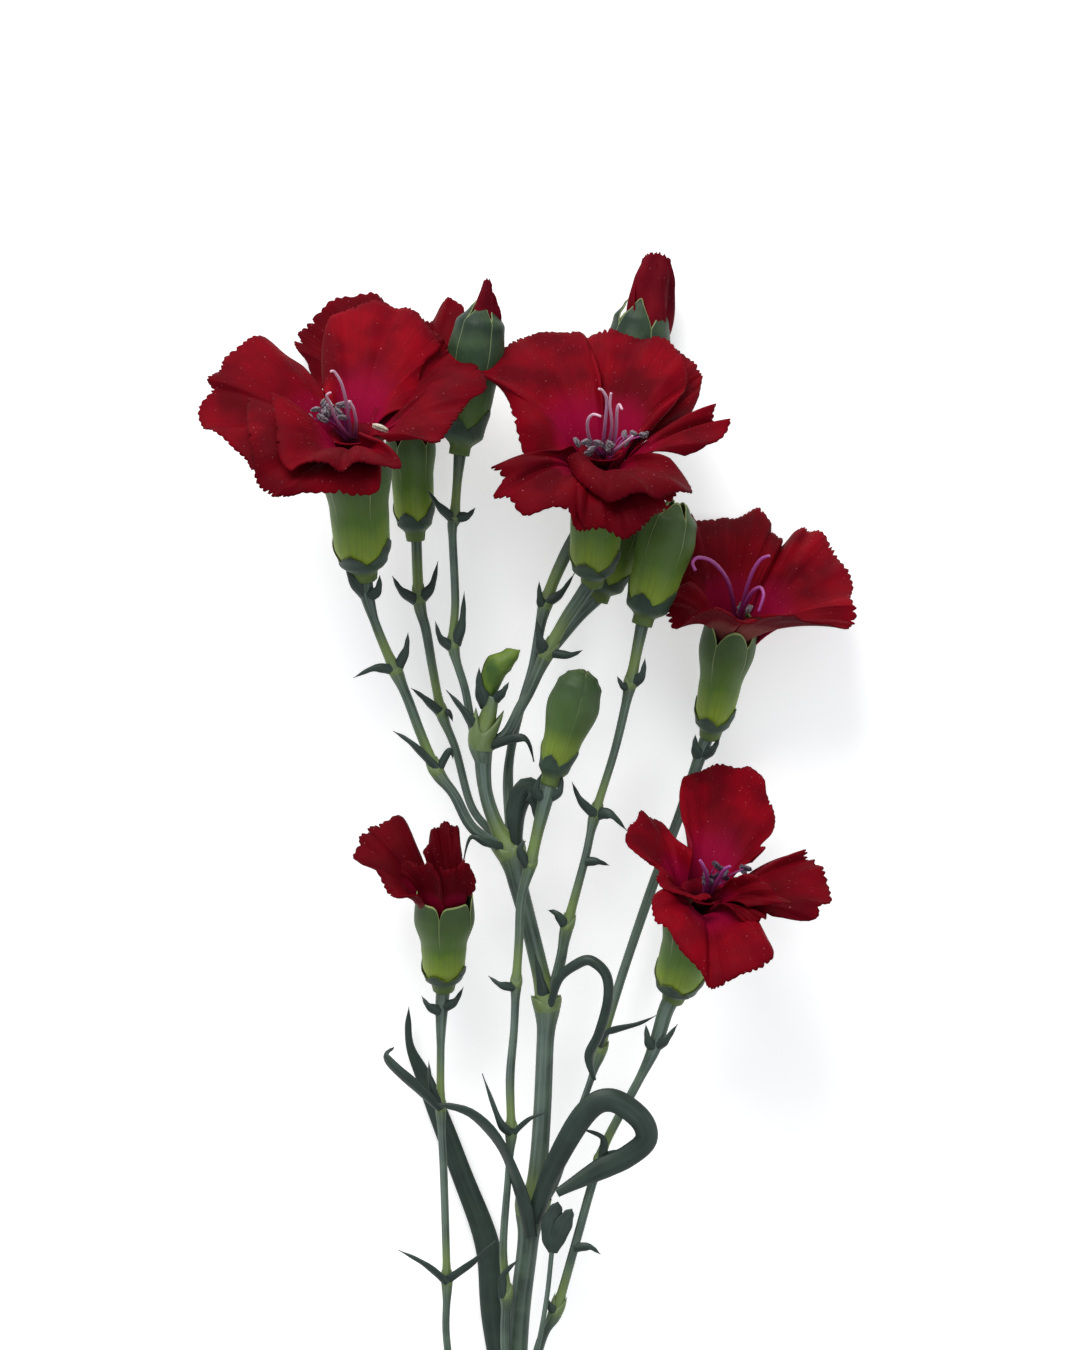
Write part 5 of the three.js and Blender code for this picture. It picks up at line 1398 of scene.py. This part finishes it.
class CarnationSettings(bpy.types.PropertyGroup):
    """Sizes and colours of the spray"""

    petal_thickness: FloatProperty(
        name="Petal thickness", description="Millimetres", default=0.35, min=0.1, max=1.5
    )
    ruffle: FloatProperty(
        name="Ruffle", description="Depth of the waves at a petal's rim, in millimetres", default=0.9, min=0
    )
    tooth_depth: FloatProperty(
        name="Tooth depth", description="Depth of a petal's teeth, in millimetres", default=0.95, min=0
    )
    tooth_spacing: FloatProperty(
        name="Tooth spacing", description="Width of one tooth, in millimetres", default=1.35, min=0.5
    )
    petal_across: IntProperty(
        name="Faces across", description="Faces from side to side", default=130, min=10, max=200
    )
    petal_along: IntProperty(
        name="Faces along", description="Faces along a petal, from claw to rim", default=34, min=10, max=100
    )
    petal_bright: FloatVectorProperty(
        name="Petal, bright", description="Where it is lightest", subtype="COLOR", default=linear("#7c0313")
    )
    petal_deep: FloatVectorProperty(
        name="Petal, deep", description="Where it is darkest", subtype="COLOR", default=linear("#56020e")
    )
    petal_throat: FloatVectorProperty(
        name="Petal, throat", description="Petal near its claw", subtype="COLOR", default=linear("#84062e")
    )
    bloom: FloatVectorProperty(
        name="Bloom", description="Waxy bloom on the stems", subtype="COLOR", default=linear("#7b8b88")
    )
    key_power: FloatProperty(
        name="Key lamp", description="Power of the key lamp", default=23, min=0, subtype="POWER"
    )
    room_light: FloatProperty(
        name="Room light", description="Strength of the even light", default=0.55, min=0
    )
    floor_glow: FloatProperty(
        name="Floor glow", description="Light that comes through the floor from below", default=0.4, min=0
    )
    camera_height: FloatProperty(
        name="Camera height", description="Above the flowers", default=1.5, unit="LENGTH"
    )
    view_height: FloatProperty(
        name="View height", description="What the view takes in", default=0.27, unit="LENGTH"
    )


class CARNATION_PT_panel(bpy.types.Panel):
    """Lists the pieces of the spray"""

    bl_idname = "CARNATION_PT_panel"
    bl_label = "Carnation"
    bl_space_type = "VIEW_3D"
    bl_region_type = "UI"
    bl_category = "Carnation"

    def draw(self, context):
        for name in CarnationSettings.__annotations__:
            self.layout.prop(context.scene.carnation, name)
        for operator in OPERATORS:
            self.layout.operator(operator.bl_idname)


OPERATORS = (
    CARNATION_OT_stage,
    CARNATION_OT_stems,
    CARNATION_OT_leaves,
    CARNATION_OT_calyxes,
    CARNATION_OT_buds,
    CARNATION_OT_petals,
    CARNATION_OT_stamens,
)
CLASSES = (CarnationSettings, *OPERATORS, CARNATION_PT_panel)


def register():
    for cls in CLASSES:
        bpy.utils.register_class(cls)
    bpy.types.Scene.carnation = PointerProperty(type=CarnationSettings)


def unregister():
    del bpy.types.Scene.carnation
    for cls in reversed(CLASSES):
        bpy.utils.unregister_class(cls)


def main():
    register()
    bpy.ops.carnation.stage()
    bpy.ops.carnation.stems()
    bpy.ops.carnation.leaves()
    bpy.ops.carnation.calyxes()
    bpy.ops.carnation.buds()
    bpy.ops.carnation.petals()
    bpy.ops.carnation.stamens()
    boxes = {"cad": cad_box, "visual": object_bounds()}
    sizes = {key: [list(corner) for corner in box] for key, box in boxes.items()}


if __name__ == "__main__":
    main()
